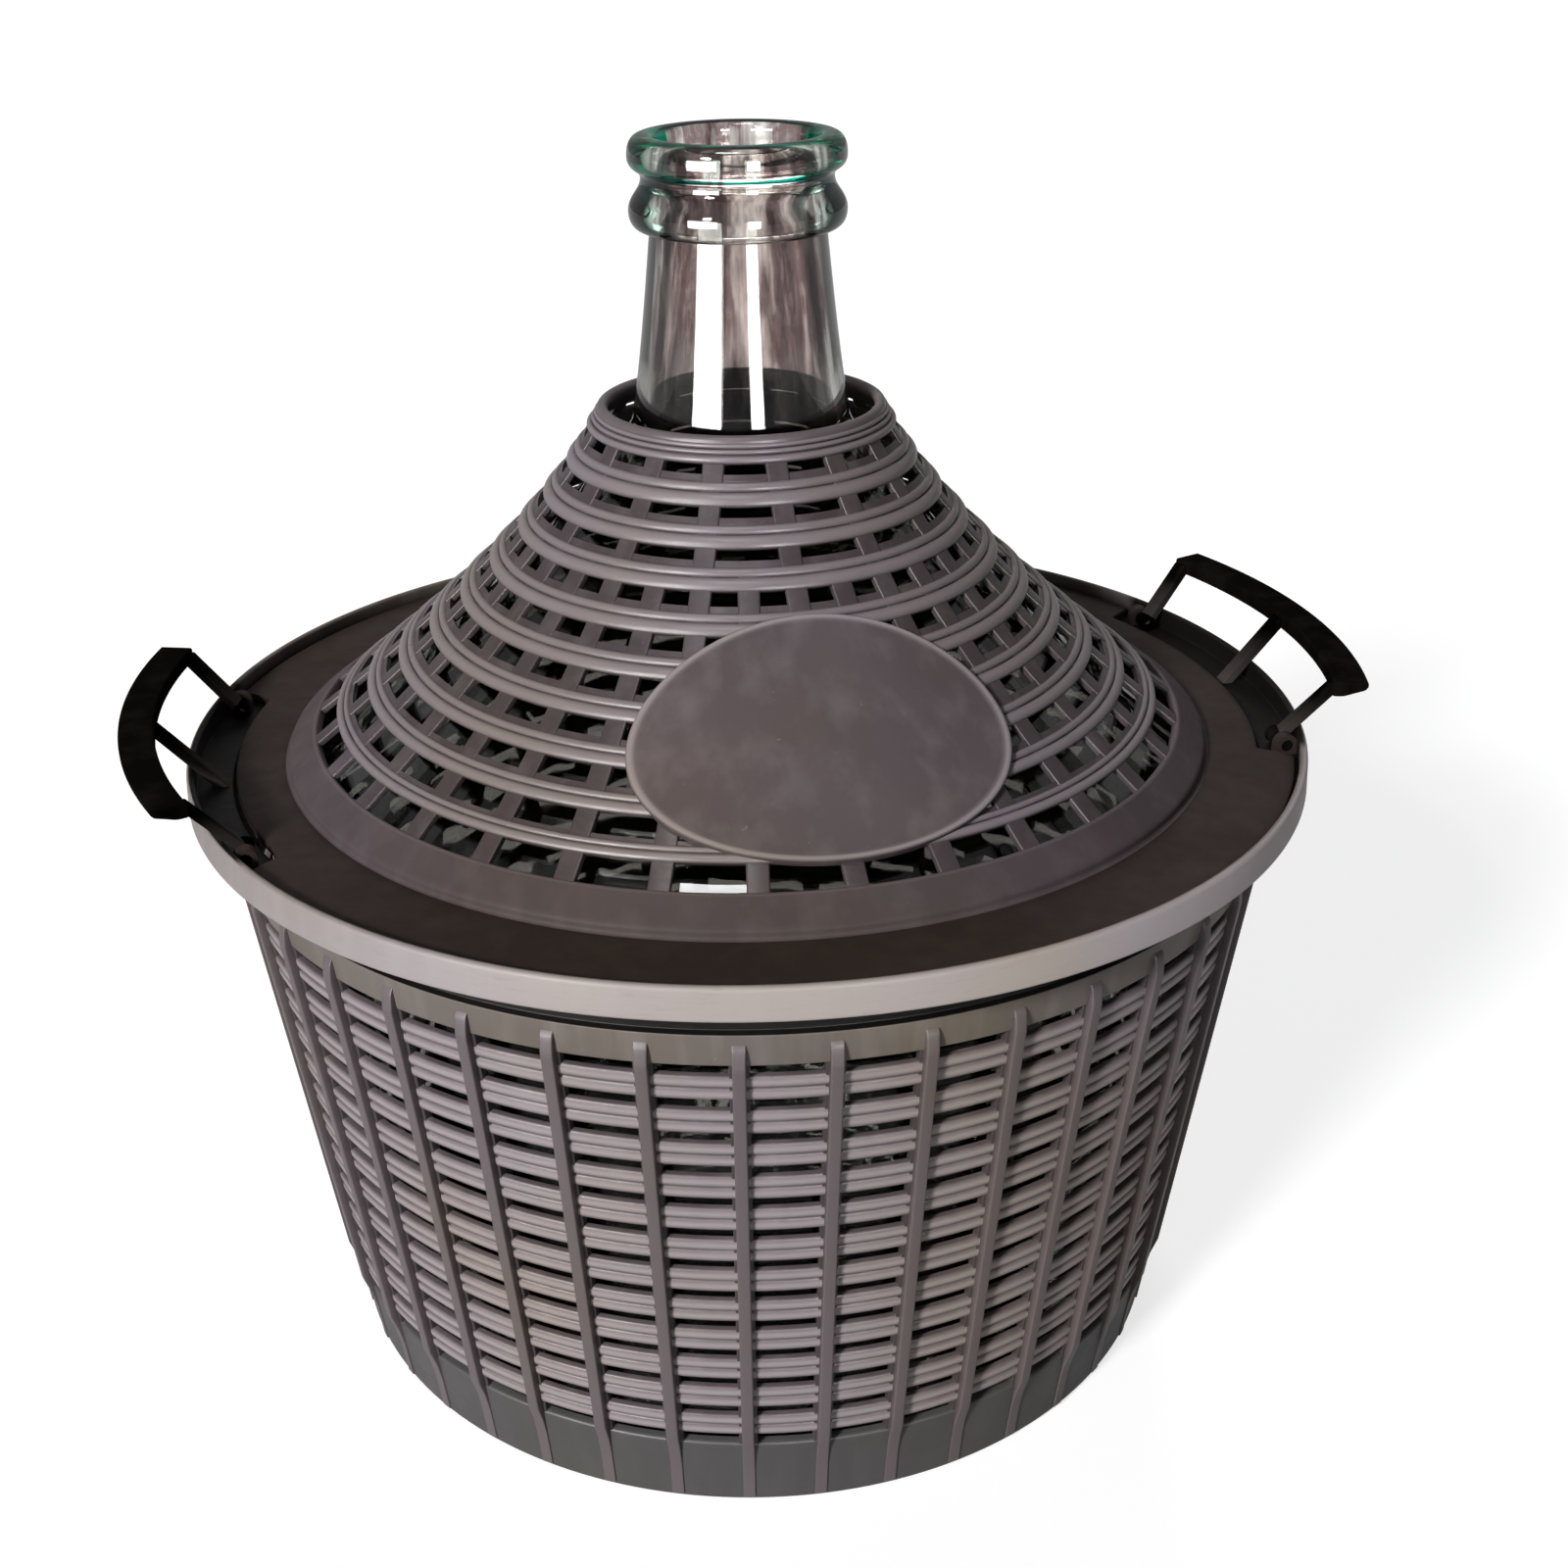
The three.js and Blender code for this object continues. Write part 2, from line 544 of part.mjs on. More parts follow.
function makeDemijohn() {
  const ringRadius = collarInside - NECK_PLAY;
  const neckRadius = ringRadius - RING_RISE;
  const ringUnder = collarTop + NECK_LENGTH;
  const groove = ringUnder + RING_HEIGHT;
  const mouthTop = groove + MOUTH_HEIGHT;
  const outside = bottleSide(BOTTLE_GAP, bottleBase, neckRadius, CURVE_STEPS);
  const inside = bottleSide(BOTTLE_GAP + GLASS, bottleBase + GLASS, neckRadius - GLASS, INSIDE_STEPS);
  const finish = new THREE.Path();
  finish.moveTo(neckRadius, ringUnder);
  finish.quadraticCurveTo(ringRadius, ringUnder, ringRadius, ringUnder + RING_HEIGHT / 2);
  finish.quadraticCurveTo(ringRadius, groove, ringRadius - GROOVE_DEPTH, groove);
  finish.quadraticCurveTo(ringRadius, groove, ringRadius, groove + MOUTH_HEIGHT / 2);
  finish.quadraticCurveTo(ringRadius, mouthTop, ringRadius - GROOVE_DEPTH, mouthTop);
  const profile = [
    point(0, bottleBase + PUNT),
    ...outside,
    ...finish.getPoints(BEAD_STEPS).slice(1),
    point(MOUTH_BORE + MOUTH_ROUND, mouthTop),
    point(MOUTH_BORE, mouthTop - MOUTH_ROUND),
    point(MOUTH_BORE, ringUnder),
    ...inside.reverse(),
    point(0, bottleBase + PUNT + GLASS),
  ];
  return revolved(profile, BOTTLE_ROUND);
}

// A solid as a geometry for a mesh.
function geometryOf(made) {
  const mesh = made.getMesh();
  const geometry = new THREE.BufferGeometry();
  geometry.setAttribute("position", new THREE.BufferAttribute(mesh.vertProperties, mesh.numProp));
  geometry.setIndex(new THREE.BufferAttribute(mesh.triVerts, 1));
  geometry.computeVertexNormals();
  return geometry;
}

// Assembly
const plastic = { color: 0x2b2826, roughness: 0.45, metalness: 0 };
const handlePlastic = { color: 0x0d0c0c, roughness: 0.35, metalness: 0 };
const glass = { color: 0xd5e2dc, roughness: 0.05, metalness: 0, transparent: true, opacity: 0.4 };

function part(name, geometry, finish) {
  const mesh = new THREE.Mesh(geometry, new THREE.MeshStandardMaterial({ ...finish, flatShading: true }));
  mesh.name = name;
  return mesh;
}

const demijohnBasket = new THREE.Group();
demijohnBasket.add(
  part("basket", geometryOf(makeBasket()), plastic),
  part("lid", geometryOf(makeLid()), plastic),
  part("demijohn", geometryOf(makeDemijohn()), glass),
  part("handle_right", makeHandle(1), handlePlastic),
  part("handle_left", makeHandle(-1), handlePlastic),
);

export default demijohnBasket;
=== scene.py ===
import math

import bpy
import numpy as np
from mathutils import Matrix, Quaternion, Vector

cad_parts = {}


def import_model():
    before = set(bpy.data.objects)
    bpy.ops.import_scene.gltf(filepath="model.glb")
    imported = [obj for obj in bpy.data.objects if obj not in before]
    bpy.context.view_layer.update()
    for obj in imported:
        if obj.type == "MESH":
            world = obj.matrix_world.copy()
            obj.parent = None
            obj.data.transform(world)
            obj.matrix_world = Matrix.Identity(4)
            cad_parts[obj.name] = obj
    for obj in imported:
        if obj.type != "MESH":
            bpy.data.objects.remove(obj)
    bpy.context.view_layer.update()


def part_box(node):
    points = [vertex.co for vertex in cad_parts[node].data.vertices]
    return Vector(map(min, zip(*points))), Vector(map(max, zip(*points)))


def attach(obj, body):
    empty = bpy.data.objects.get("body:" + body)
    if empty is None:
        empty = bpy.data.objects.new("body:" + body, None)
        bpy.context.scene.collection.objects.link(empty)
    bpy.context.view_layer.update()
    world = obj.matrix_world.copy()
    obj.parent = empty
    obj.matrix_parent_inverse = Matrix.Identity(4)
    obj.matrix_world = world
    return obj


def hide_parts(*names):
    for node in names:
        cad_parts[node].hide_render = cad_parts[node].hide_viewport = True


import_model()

MM = 0.001


def reach(node, axis, end):
    """One coordinate of a node's box in millimetres: the low end is 0 and the high end is 1."""
    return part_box(node)[end][axis] / MM


# Basket
RIM_RADIUS = reach("basket", 0, 1)
RIM_TOP = reach("basket", 2, 1)
LIP_HEIGHT = 11
LIP_THICKNESS = 3
LIP_OVERHANG = 12.1
LIP_DRAFT = 0.35  # how far the lip's top stands in from its foot
LIP_LIGHT = 0.62  # painted light on the lip's outside, with what is added at the front and at the right
LIP_LIGHT_FRONT = 0.38
LIP_LIGHT_RIGHT = 0.3
LEDGE_THICKNESS = 3.4
UNDERCUT_PLACE = 12.6  # from the lip's foot down to the dark groove below it
UNDERCUT_DEPTH = 2.2
BASE_RADIUS = 150
WALL = 3.4
FLOOR = 4
FLOOR_MARGIN = 12  # width of the floor's edge outside its flat part
RIB_COUNT = 40
RIB_WIDTH = 4
RIB_RISE = 2.6
RIB_FOOT = 2.2
RIB_HEAD = 10  # from the middle of the highest slots up to a rib's end
RIB_FADE = 8  # length of a rib's end that sinks into the wall
RIB_LOW_SHARE = 0.2  # share of the rise that a rib has on the smooth band
RIB_LOW_FADE = 6
# painted shade on the posts and the ribs' lower sides, taken off their relief
RIB_SIDE_SHADE = 0.4
POST_WIDTH = 6
POST_INSET = 0.3  # how far a post's face lies behind the slats
SLOT_ROWS = 13
SLOT_PITCH = 12.98
SLOT_HEIGHT = 4
FIRST_SLOT = 29.6  # from the floor up the wall to the middle of the lowest slots
SLAT_RIDGE = 0.8  # depth of the groove between a slat's two ridges
SLAT_BACK_SHARE = 0.94  # height of a slat's back as a share of its front
SLAT_BACK_CURVE = 0.9

# Lid
LID_WALL = 3
FLANGE_TOP = RIM_TOP - 4
FLANGE_THICKNESS = 3
FLANGE_PLAY = 0.8
CONE_RADIUS = 160
CONE_STEP = 3
CONE_WAIST_RADIUS = 75
CONE_WAIST_HEIGHT = 63
COLLAR_RADIUS = 47.5
COLLAR_TOP = reach("lid", 2, 1)
COLLAR_BEAD = 1.9  # radius of the collar's rolled top edge
LID_BAYS = 32
LOWER_ROWS = 7
LOWER_PITCH = 15.3
UPPER_PITCH = 14
FOOT_BAND = 9.4
LID_SLOTS = (9.2, 7.2, 6.2, 5.8, 5.6, 5.2, 4.8, 3.6, 3.4, 3.2)  # height of the slots in each row
LAST_ROW = len(LID_SLOTS) - 1
LID_POST_WIDTH = 7
LID_POST_SINK = 0.55  # how far a post's face lies behind the cone
LID_POST_BACK = 0.2
RING_RIDGES = ((0.23, 0.23), (0.62, 0.15))  # middle and half width of each ridge as shares of a ring's height
COLLAR_RIDGES = ((0.2, 0.2), (0.58, 0.13), (0.87, 0.13))
THICK_RISE = 1.3
THIN_RISE = 1.0
RING_SINK = 0.9  # how far the flat beside the ridges lies behind the cone
COLLAR_SINK = 0.7
# wear and painted highlight on the skirt's top edge and on the collar's rolled edge
SKIRT_WEAR_AND_LIGHT = 0.3
BEAD_WEAR_AND_LIGHT = 0.4
PLATE_WIDTH = 120
PLATE_HEIGHT = 82
PLATE_PLACE = 61
PLATE_RISE = 1.5
PLATE_BORDER = 1.6
PLATE_BORDER_RISE = 0.55
PLATE_DEPTH = 3.4  # from the plate's face down to its hidden back
NOTCH_RADIUS = 177.9
NOTCH_HALF_ANGLE = math.radians(23.5)
NOTCH_SIDE_ANGLE = math.radians(1.7)

# Handles
HANDLE_HALF_ANGLE = math.radians(19.5)
HANDLE_LEAN = math.radians(38)
GRIP_TOP = reach("handle_right", 2, 1)
GRIP_OUTSIDE = reach("handle_right", 0, 1)
GRIP_THICKNESS = 5.2
GRIP_EDGE = 1.6  # height of the grip's thin outer edge
GRIP_FLARE = 2.8  # from the grip's top down to where its flare meets that edge
GRIP_TRIM = 2.4  # how far the grip's inner edge stands out from the straps' backs
# darkens the whole grip towards a near-black
GRIP_DARKENING = 0.6
STRAP = 3.6
STRAP_WIDTH = 6
STRAP_SINK = 1.5  # from the grip's top down to the straps' ends inside it
# painted light: how fast the straps' lighter feet fade out upwards
STRAP_LIGHT_FADE = 1.3
BARREL_RADIUS = 3
PIN_RADIUS = 1.8
EAR_STANDOFF = 1.8
EAR_THICKNESS = 4
EAR_HALF = 3.9
SEAT_GAP = 0.3

# Demijohn
GLASS = 5
BOTTLE_GAP = 5
NECK_GAP = 9
HEEL_HEIGHT = 42
PUNT = 14
PUNT_SHARE = 0.6  # width of the hollow's flat middle as a share of the foot
FOOT_RING = 8
SHOULDER_DROP = 62
SHOULDER_EASE = 22
NECK_EASE = 0.3  # share of the neck's flare that each of its two lower bends takes up
NECK_BENDS = (10, 20)  # how far up those bends lie
RING_RADIUS = 35.6
NECK_RADIUS = 29
NECK_LENGTH = 56.6
RING_PLACE = 63  # from the collar's top up to the widest part of the ring
GROOVE_PLACE = COLLAR_TOP + 73.4
GROOVE_DEPTH = 4.2
MOUTH_PLACE = 80.2  # from the collar's top up to the widest part of the mouth
MOUTH_BORE = 26
MOUTH_TOP = reach("demijohn", 2, 1)
BOTTLE_BASE = reach("demijohn", 2, 0)
RING_PULL = 4.5  # how full the curves of the ring, the groove and the mouth are
GROOVE_PULLS = (4, 3)
MOUTH_PULL = 4.6
MOUTH_FLAT = (4.5, 3.4)  # from the bore out to the outer and the inner end of the mouth's flat top
MOUTH_ROUND = 4
BORE_EASE = 12

# Fineness
TURN_FACETS = 192
BOTTLE_FACETS = 160
FLANGE_FACETS = 1080
PLATE_FACETS = 144
EAR_FACETS = 48
PIN_FACETS = 24
BOTTLE_STEPS = 20
AXIS_CLEAR = 0.5  # radius at which profiles that run to the axis end
SHARP = math.radians(38)  # edges that turn by more than this stay sharp

# Places that follow
FLANGE_UNDER = FLANGE_TOP - FLANGE_THICKNESS
LEDGE_TOP = FLANGE_UNDER - SEAT_GAP
LEDGE_UNDER = LEDGE_TOP - LEDGE_THICKNESS
LIP_INSIDE = RIM_RADIUS - LIP_THICKNESS
WALL_TOP_RADIUS = RIM_RADIUS - LIP_OVERHANG
WALL_SLOPE = math.atan2(WALL_TOP_RADIUS - BASE_RADIUS, LEDGE_UNDER)
HALF_BAY = math.pi / RIB_COUNT
FLANGE_RADIUS = LIP_INSIDE * math.cos(HALF_BAY) - FLANGE_PLAY
RING_UNDER = COLLAR_TOP + NECK_LENGTH


# Shape tools
def bezier(*controls, steps=24):
    """Points of a Bezier curve: blend each control with the next by one share until one point is left."""
    share = np.linspace(0, 1, steps + 1)[:, None]
    rows = [np.asarray(control, float)[None, :] + 0 * share for control in controls]
    while len(rows) > 1:
        rows = [a + (b - a) * share for a, b in zip(rows, rows[1:])]
    return rows[0]


def rounded(corners, setbacks, steps=5):
    """A closed outline whose corners are parabolas that start and end a setback away from the corner."""
    points = np.asarray(corners, float)
    back = np.asarray(setbacks, float)[:, None]
    before = np.roll(points, 1, axis=0) - points
    after = np.roll(points, -1, axis=0) - points
    start = points + before / np.linalg.norm(before, axis=1, keepdims=True) * back
    end = points + after / np.linalg.norm(after, axis=1, keepdims=True) * back
    share = np.linspace(0, 1, steps + 1)[None, :, None]
    left, middle, right = (1 - share) ** 2, 2 * share * (1 - share), share**2
    curves = left * start[:, None] + middle * points[:, None] + right * end[:, None]
    return curves.reshape(-1, 2)


def ridge(along, middle, half):
    """Half an ellipse over a line: the square root of one less the square of the distance in half widths."""
    return np.sqrt(np.clip(1 - ((along - middle) / half) ** 2, 0, 1))


def shell(rings, loop=False, relief=None):
    """A closed surface through rings of points, turned so that its volume is positive.

    Quads join each ring to the next. The rings come round to the first one in a loop, and otherwise fans
    close the first and the last ring at their middles.
    """
    rows, columns = rings.shape[:2]
    row = np.arange(rows if loop else rows - 1)[:, None]
    column = np.arange(columns)[None, :]
    below, above = row * columns, (row + 1) % rows * columns
    beside = (column + 1) % columns
    quads = np.stack([below + column, below + beside, above + beside, above + column], axis=-1).reshape(-1, 4)
    points = rings.reshape(-1, 3)
    heights = np.zeros(len(points)) if relief is None else np.broadcast_to(relief, (rows, columns)).ravel()
    fans = np.empty((0, 3), int)
    if not loop:
        here, there = column[0], beside[0]
        last = (rows - 1) * columns
        pole = np.full(columns, len(points))
        fans = np.concatenate([
            np.stack([pole, there, here], axis=-1),
            np.stack([pole + 1, last + here, last + there], axis=-1),
        ])
        points = np.concatenate([points, rings[[0, -1]].mean(axis=1)])
        heights = np.concatenate([heights, [0, 0]])
    triangles = np.concatenate([quads[:, [0, 1, 2]], quads[:, [0, 2, 3]], fans])
    a, b, c = (points[triangles[:, i]] for i in range(3))
    if np.einsum("ij,ij->", a, np.cross(b, c)) < 0:
        quads, fans = quads[:, ::-1], fans[:, ::-1]
    return {"points": points, "quads": quads, "fans": fans, "relief": heights}


def about_axis(profile, angles):
    """A (radius, height) profile set up at each angle: x and y are the radius times its cosine and sine."""
    radius, height = profile[..., 0], profile[..., 1]
    turn = angles[:, None]
    return np.stack([radius * np.cos(turn), radius * np.sin(turn), height + 0 * turn], axis=-1)


def full_turn(facets):
    """Equal angles round a circle, from nothing up to just before a whole turn."""
    return np.arange(facets) * 2 * np.pi / facets


def turned(profile, relief=None):
    """A closed profile turned once about the upright axis."""
    return shell(about_axis(profile, full_turn(TURN_FACETS)), loop=True, relief=relief)


def turned_from_axis(profile, facets=TURN_FACETS):
    """A profile that starts and ends near the upright axis, turned about it and closed at both ends."""
    return shell(about_axis(profile, full_turn(facets)).transpose(1, 0, 2))


def standing(section, radius, height, angle):
    """Sections of (across, out) points round the axis: out adds to the radius, across is square to it."""
    across, out = section[..., 0], section[..., 1]
    away = radius + out
    x = away * np.cos(angle) - across * np.sin(angle)
    y = away * np.sin(angle) + across * np.cos(angle)
    return np.stack([x, y, height + 0 * across], axis=-1)


def disc(middle, radius):
    """A circle in the plane of x and height, as (x, height) points."""
    turn = full_turn(PIN_FACETS)
    return np.stack([middle[0] + radius * np.cos(turn), middle[1] + radius * np.sin(turn)], axis=-1)


def across_y(outline, *places):
    """An (x, height) outline repeated at places along y."""
    y = np.asarray(places, float)[:, None]
    return np.stack([outline[:, 0] + 0 * y, y + 0 * outline[:, 0], outline[:, 1] + 0 * y], axis=-1)


def level(radius, height):
    """A row of (radius, height) points at one height."""
    return np.stack([radius, height + 0 * radius], axis=-1)


def unit(way):
    """A direction with length one."""
    return way / np.linalg.norm(way)


def left_of(way):
    """The direction a quarter turn to the left of another."""
    return np.array([-way[1], way[0]])


def placed(name, data):
    """A new object in the scene."""
    made = bpy.data.objects.new(name, data)
    bpy.context.scene.collection.objects.link(made)
    return made


def piece(name, shells, material, body):
    """Puts shells into one mesh object that rides on a body and stands for that body's node."""
    starts = np.cumsum([0] + [len(s["points"]) for s in shells[:-1]])
    points = np.concatenate([s["points"] for s in shells]) * MM
    quads = np.concatenate([s["quads"] + start for s, start in zip(shells, starts)])
    fans = np.concatenate([s["fans"] + start for s, start in zip(shells, starts)])
    mesh = bpy.data.meshes.new(name)
    mesh.vertices.add(len(points))
    mesh.vertices.foreach_set("co", points.ravel())
    corners = np.concatenate([quads.ravel(), fans.ravel()])
    mesh.loops.add(len(corners))
    mesh.loops.foreach_set("vertex_index", corners)
    firsts = np.concatenate([np.arange(len(quads)) * 4, len(quads) * 4 + np.arange(len(fans)) * 3])
    mesh.polygons.add(len(firsts))
    mesh.polygons.foreach_set("loop_start", firsts)
    mesh.update(calc_edges=True)
    mesh.polygons.foreach_set("use_smooth", np.ones(len(firsts), bool))
    mesh.set_sharp_from_angle(angle=SHARP)
    relief = mesh.attributes.new("relief", "FLOAT", "POINT")
    relief.data.foreach_set("value", np.concatenate([s["relief"] for s in shells]))
    mesh.materials.append(material)
    made = placed(name, mesh)
    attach(made, body)
    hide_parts(body)


# Material tools
BLACK = (0, 0, 0, 1)
WHITE = (1, 1, 1, 1)
DRAWN_UP = (1, 1, 0.12)  # a scale that draws a texture out into upright streaks


def colour(red, green, blue):
    """A colour given as screen values from 0 to 255, as the linear values that shaders use."""
    screen = np.array([red, green, blue]) / 255
    linear = np.where(screen <= 0.04045, screen / 12.92, ((screen + 0.055) / 1.055) ** 2.4)
    return (*linear.tolist(), 1.0)


def join(tree, node, inputs):
    """Links sockets to a node's inputs and sets plain values on them."""
    for key, value in inputs.items():
        if isinstance(value, bpy.types.NodeSocket):
            tree.links.new(value, node.inputs[key])
        else:
            node.inputs[key].default_value = value


def put(tree, kind, inputs=None, **settings):
    """Adds a node, sets what it is and joins its inputs."""
    node = tree.nodes.new(kind)
    for name, value in settings.items():
        setattr(node, name, value)
    join(tree, node, inputs or {})
    return node


def node_material(name):
    """A new material with nodes, with its tree and its shader."""
    material = bpy.data.materials.new(name)
    material.use_nodes = True
    return material, material.node_tree, material.node_tree.nodes["Principled BSDF"]


def noise(tree, place, scale, detail=3, roughness=0.55):
    """Smooth noise, around a half."""
    inputs = {"Vector": place, "Scale": scale, "Detail": detail, "Roughness": roughness}
    return put(tree, "ShaderNodeTexNoise", inputs).outputs["Fac"]


def stretched(tree, place, scale, turn=(0, 0, 0)):
    """Places scaled along each axis and then turned."""
    return put(tree, "ShaderNodeMapping", {"Vector": place, "Scale": scale, "Rotation": turn}).outputs[0]


def spread(tree, value, low, high, to_low=0.0, to_high=1.0):
    """A value between two limits, stretched between two others."""
    return put(tree, "ShaderNodeMapRange", {0: value, 1: low, 2: high, 3: to_low, 4: to_high}).outputs[0]


def sums(tree, kind, a, b):
    """Two values worked into one."""
    return put(tree, "ShaderNodeMath", {0: a, 1: b}, operation=kind).outputs[0]


def mixed(tree, share, a, b, blend="MIX"):
    """Two colours mixed by a share."""
    return put(tree, "ShaderNodeMix", {0: share, 6: a, 7: b}, data_type="RGBA", blend_type=blend).outputs[2]


def moulded_surface():
    """A node group for moulded plastic: cloudy colour, olive stains, flow lines, dust, scuffs and fine grain.

    Relief above nothing brings on the wear-and-light shade: partly wear, partly a painted highlight on raised
    parts.
    Relief below nothing brings on painted shade, a near-black for recesses, gaps and shaded sides.
    """
    tree = bpy.data.node_groups.new("moulded_surface", "ShaderNodeTree")
    inputs = {"Colour": "Color", "Wear_and_light": "Color", "Hollow": "Color", "Relief": "Float", "Gloss": "Float"}
    outputs = {"Colour": "Color", "Roughness": "Float", "Height": "Float"}
    for way, sockets in (("INPUT", inputs), ("OUTPUT", outputs)):
        for name, kind in sockets.items():
            tree.interface.new_socket(name, in_out=way, socket_type="NodeSocket" + kind)
    given = put(tree, "NodeGroupInput").outputs
    place = put(tree, "ShaderNodeTexCoord").outputs["Object"]
    scuff_place = stretched(tree, place, scale=(1, 1, 7), turn=(0.3, 0.5, 0.2))
    clouds = noise(tree, place, scale=22, detail=4)
    flow = noise(tree, stretched(tree, place, DRAWN_UP), scale=90)
    grain = noise(tree, place, scale=1500, detail=2)
    specks = noise(tree, place, scale=420, detail=5, roughness=0.7)
    scuffs = noise(tree, scuff_place, scale=140, detail=6, roughness=0.65)
    patches = noise(tree, place, scale=8, detail=2)

    cloudy = spread(tree, clouds, low=0.35, high=0.68, to_high=0.38)
    flowing = spread(tree, flow, low=0.45, high=0.75, to_high=0.22)
    # wear and painted highlight: positive relief brings on the lighter shade on raised parts, broken up by
    # scuffs
    wear_and_light = sums(tree, "MULTIPLY", given["Relief"], spread(tree, scuffs, low=0.28, high=0.45, to_low=0.84))
    dust = spread(tree, specks, low=0.66, high=0.74, to_high=0.35)
    stains = spread(tree, patches, low=0.46, high=0.62, to_high=0.75)
    # painted shade: negative relief mixes in a near-black for recesses, gaps and shaded sides
    painted_shade = spread(tree, given["Relief"], low=-1, high=0, to_low=1, to_high=0)
    shade = mixed(tree, cloudy, given["Colour"], given["Hollow"])
    shade = mixed(tree, flowing, shade, given["Wear_and_light"])
    shade = mixed(tree, sums(tree, "MAXIMUM", wear_and_light, 0), shade, given["Wear_and_light"])
    shade = mixed(tree, dust, shade, given["Wear_and_light"])
    shade = mixed(tree, stains, shade, (1, 0.97, 0.8, 1), "MULTIPLY")
    shade = mixed(tree, painted_shade, shade, colour(20, 17, 16))

    cloudy_gloss = spread(tree, clouds, low=0.3, high=0.7, to_low=-0.06, to_high=0.08)
    scuffed_gloss = spread(tree, scuffs, low=0.4, high=0.75, to_low=-0.03, to_high=0.12)
    rough = sums(tree, "ADD", sums(tree, "ADD", given["Gloss"], cloudy_gloss), scuffed_gloss)
    height = sums(tree, "ADD", sums(tree, "MULTIPLY", grain, 0.35), sums(tree, "MULTIPLY", flow, 0.65))
    put(tree, "NodeGroupOutput", {"Colour": shade, "Roughness": rough, "Height": height})
    return tree


MOULDED = moulded_surface()


def plastic(name, base, wear_and_light, hollow, gloss, shine):
    """A moulded plastic with its own three shades, roughness and shine."""
    material, tree, shader = node_material(name)
    relief = put(tree, "ShaderNodeAttribute", attribute_name="relief").outputs["Fac"]
    surface = put(tree, "ShaderNodeGroup", {
        "Colour": colour(*base), "Wear_and_light": colour(*wear_and_light), "Hollow": colour(*hollow),
        "Gloss": gloss, "Relief": relief,
    }, node_tree=MOULDED).outputs
    bump = put(tree, "ShaderNodeBump", {"Strength": 0.12, "Distance": 0.0006, "Height": surface["Height"]})
    join(tree, shader, {
        "Base Color": surface["Colour"], "Roughness": surface["Roughness"], "Normal": bump.outputs[0],
        "Specular IOR Level": shine,
    })
    return material


def bottle_glass():
    """Clear bottle glass: slow ripples in its face, upright streaks of painted dark reflection on the neck
    and emerald edges at the mouth.

    The body is clear, the shoulder is tinted darker as painted shade and the neck has painted dark edges. In
    the basket it hardly mirrors.
    """
    material, tree, shader = node_material("bottle_glass")
    place = put(tree, "ShaderNodeTexCoord").outputs["Object"]
    height = put(tree, "ShaderNodeSeparateXYZ", {0: place}).outputs[2]
    edge = put(tree, "ShaderNodeLayerWeight", {"Blend": 0.5}).outputs["Facing"]
    drawn = stretched(tree, place, DRAWN_UP)
    ripples = noise(tree, drawn, scale=38, detail=2)
    streaks = noise(tree, drawn, scale=85, detail=4)
    film = noise(tree, place, scale=260, detail=5, roughness=0.65)

    def between(value, low, high, to_low=0.0, to_high=1.0):
        """A height stretched between two heights that are given in millimetres."""
        return spread(tree, value, low * MM, high * MM, to_low, to_high)

    drips = spread(tree, streaks, low=0.35, high=0.65, to_low=-0.016, to_high=0.004)
    neck = between(sums(tree, "ADD", height, drips), COLLAR_TOP - 18, COLLAR_TOP + 8)
    shoulder = between(height, RIM_TOP - 24, RIM_TOP + 6)
    mouth = between(height, RING_UNDER - 2, RING_UNDER + 3)
    above_groove = between(height, GROOVE_PLACE + 2.5, GROOVE_PLACE + 6)
    # painted shade in the reflections: they are cut down to a small share inside the basket
    above_rim = between(height, RIM_TOP - 14, RIM_TOP + 4, to_low=0.08)

    # painted shade on the neck: upright dark streaks on a pale tint standing for dark reflections, then a
    # lighter film
    neck_shade = mixed(tree, spread(tree, streaks, low=0.43, high=0.54), colour(84, 58, 60), colour(240, 224, 222))
    neck_shade = mixed(tree, spread(tree, film, low=0.5, high=0.8, to_high=0.25), neck_shade, colour(232, 228, 226))
    # painted shade: the glass is tinted darker towards its shoulder, so that the slots look dark
    body = mixed(tree, shoulder, colour(174, 169, 166), colour(136, 130, 128))
    tint = mixed(tree, neck, body, neck_shade)
    # painted shade: near-black where the neck is seen edge-on
    dark_edge = sums(tree, "MULTIPLY", spread(tree, edge, low=0.36, high=0.6), neck)
    tint = mixed(tree, dark_edge, tint, colour(6, 5, 5))
    green_edge = sums(tree, "MULTIPLY", mouth, spread(tree, edge, low=0.3, high=0.5))
    tint = mixed(tree, green_edge, tint, mixed(tree, above_groove, colour(0, 2, 2), colour(0, 52, 31)))

    swell = between(height, RIM_TOP, COLLAR_TOP, to_low=1.4, to_high=0)
    chop = sums(tree, "MULTIPLY", noise(tree, drawn, scale=62, detail=1), swell)
    waves = sums(tree, "ADD", ripples, chop)
    bump = put(tree, "ShaderNodeBump", {"Strength": 0.08, "Distance": 0.002, "Height": waves})
    join(tree, shader, {
        "Base Color": tint,
        "Specular Tint": mixed(tree, sums(tree, "MAXIMUM", above_rim, neck), BLACK, WHITE),
        "Roughness": spread(tree, film, low=0.45, high=0.8, to_low=0.01, to_high=0.08),
        "Normal": bump.outputs[0], "Transmission Weight": 1, "IOR": 1.5,
    })
    depth = put(tree, "ShaderNodeVolumeAbsorption", {"Color": (0.1, 0.84, 0.62, 1), "Density": 16})
    join(tree, tree.nodes["Material Output"], {"Volume": depth.outputs[0]})
    return material


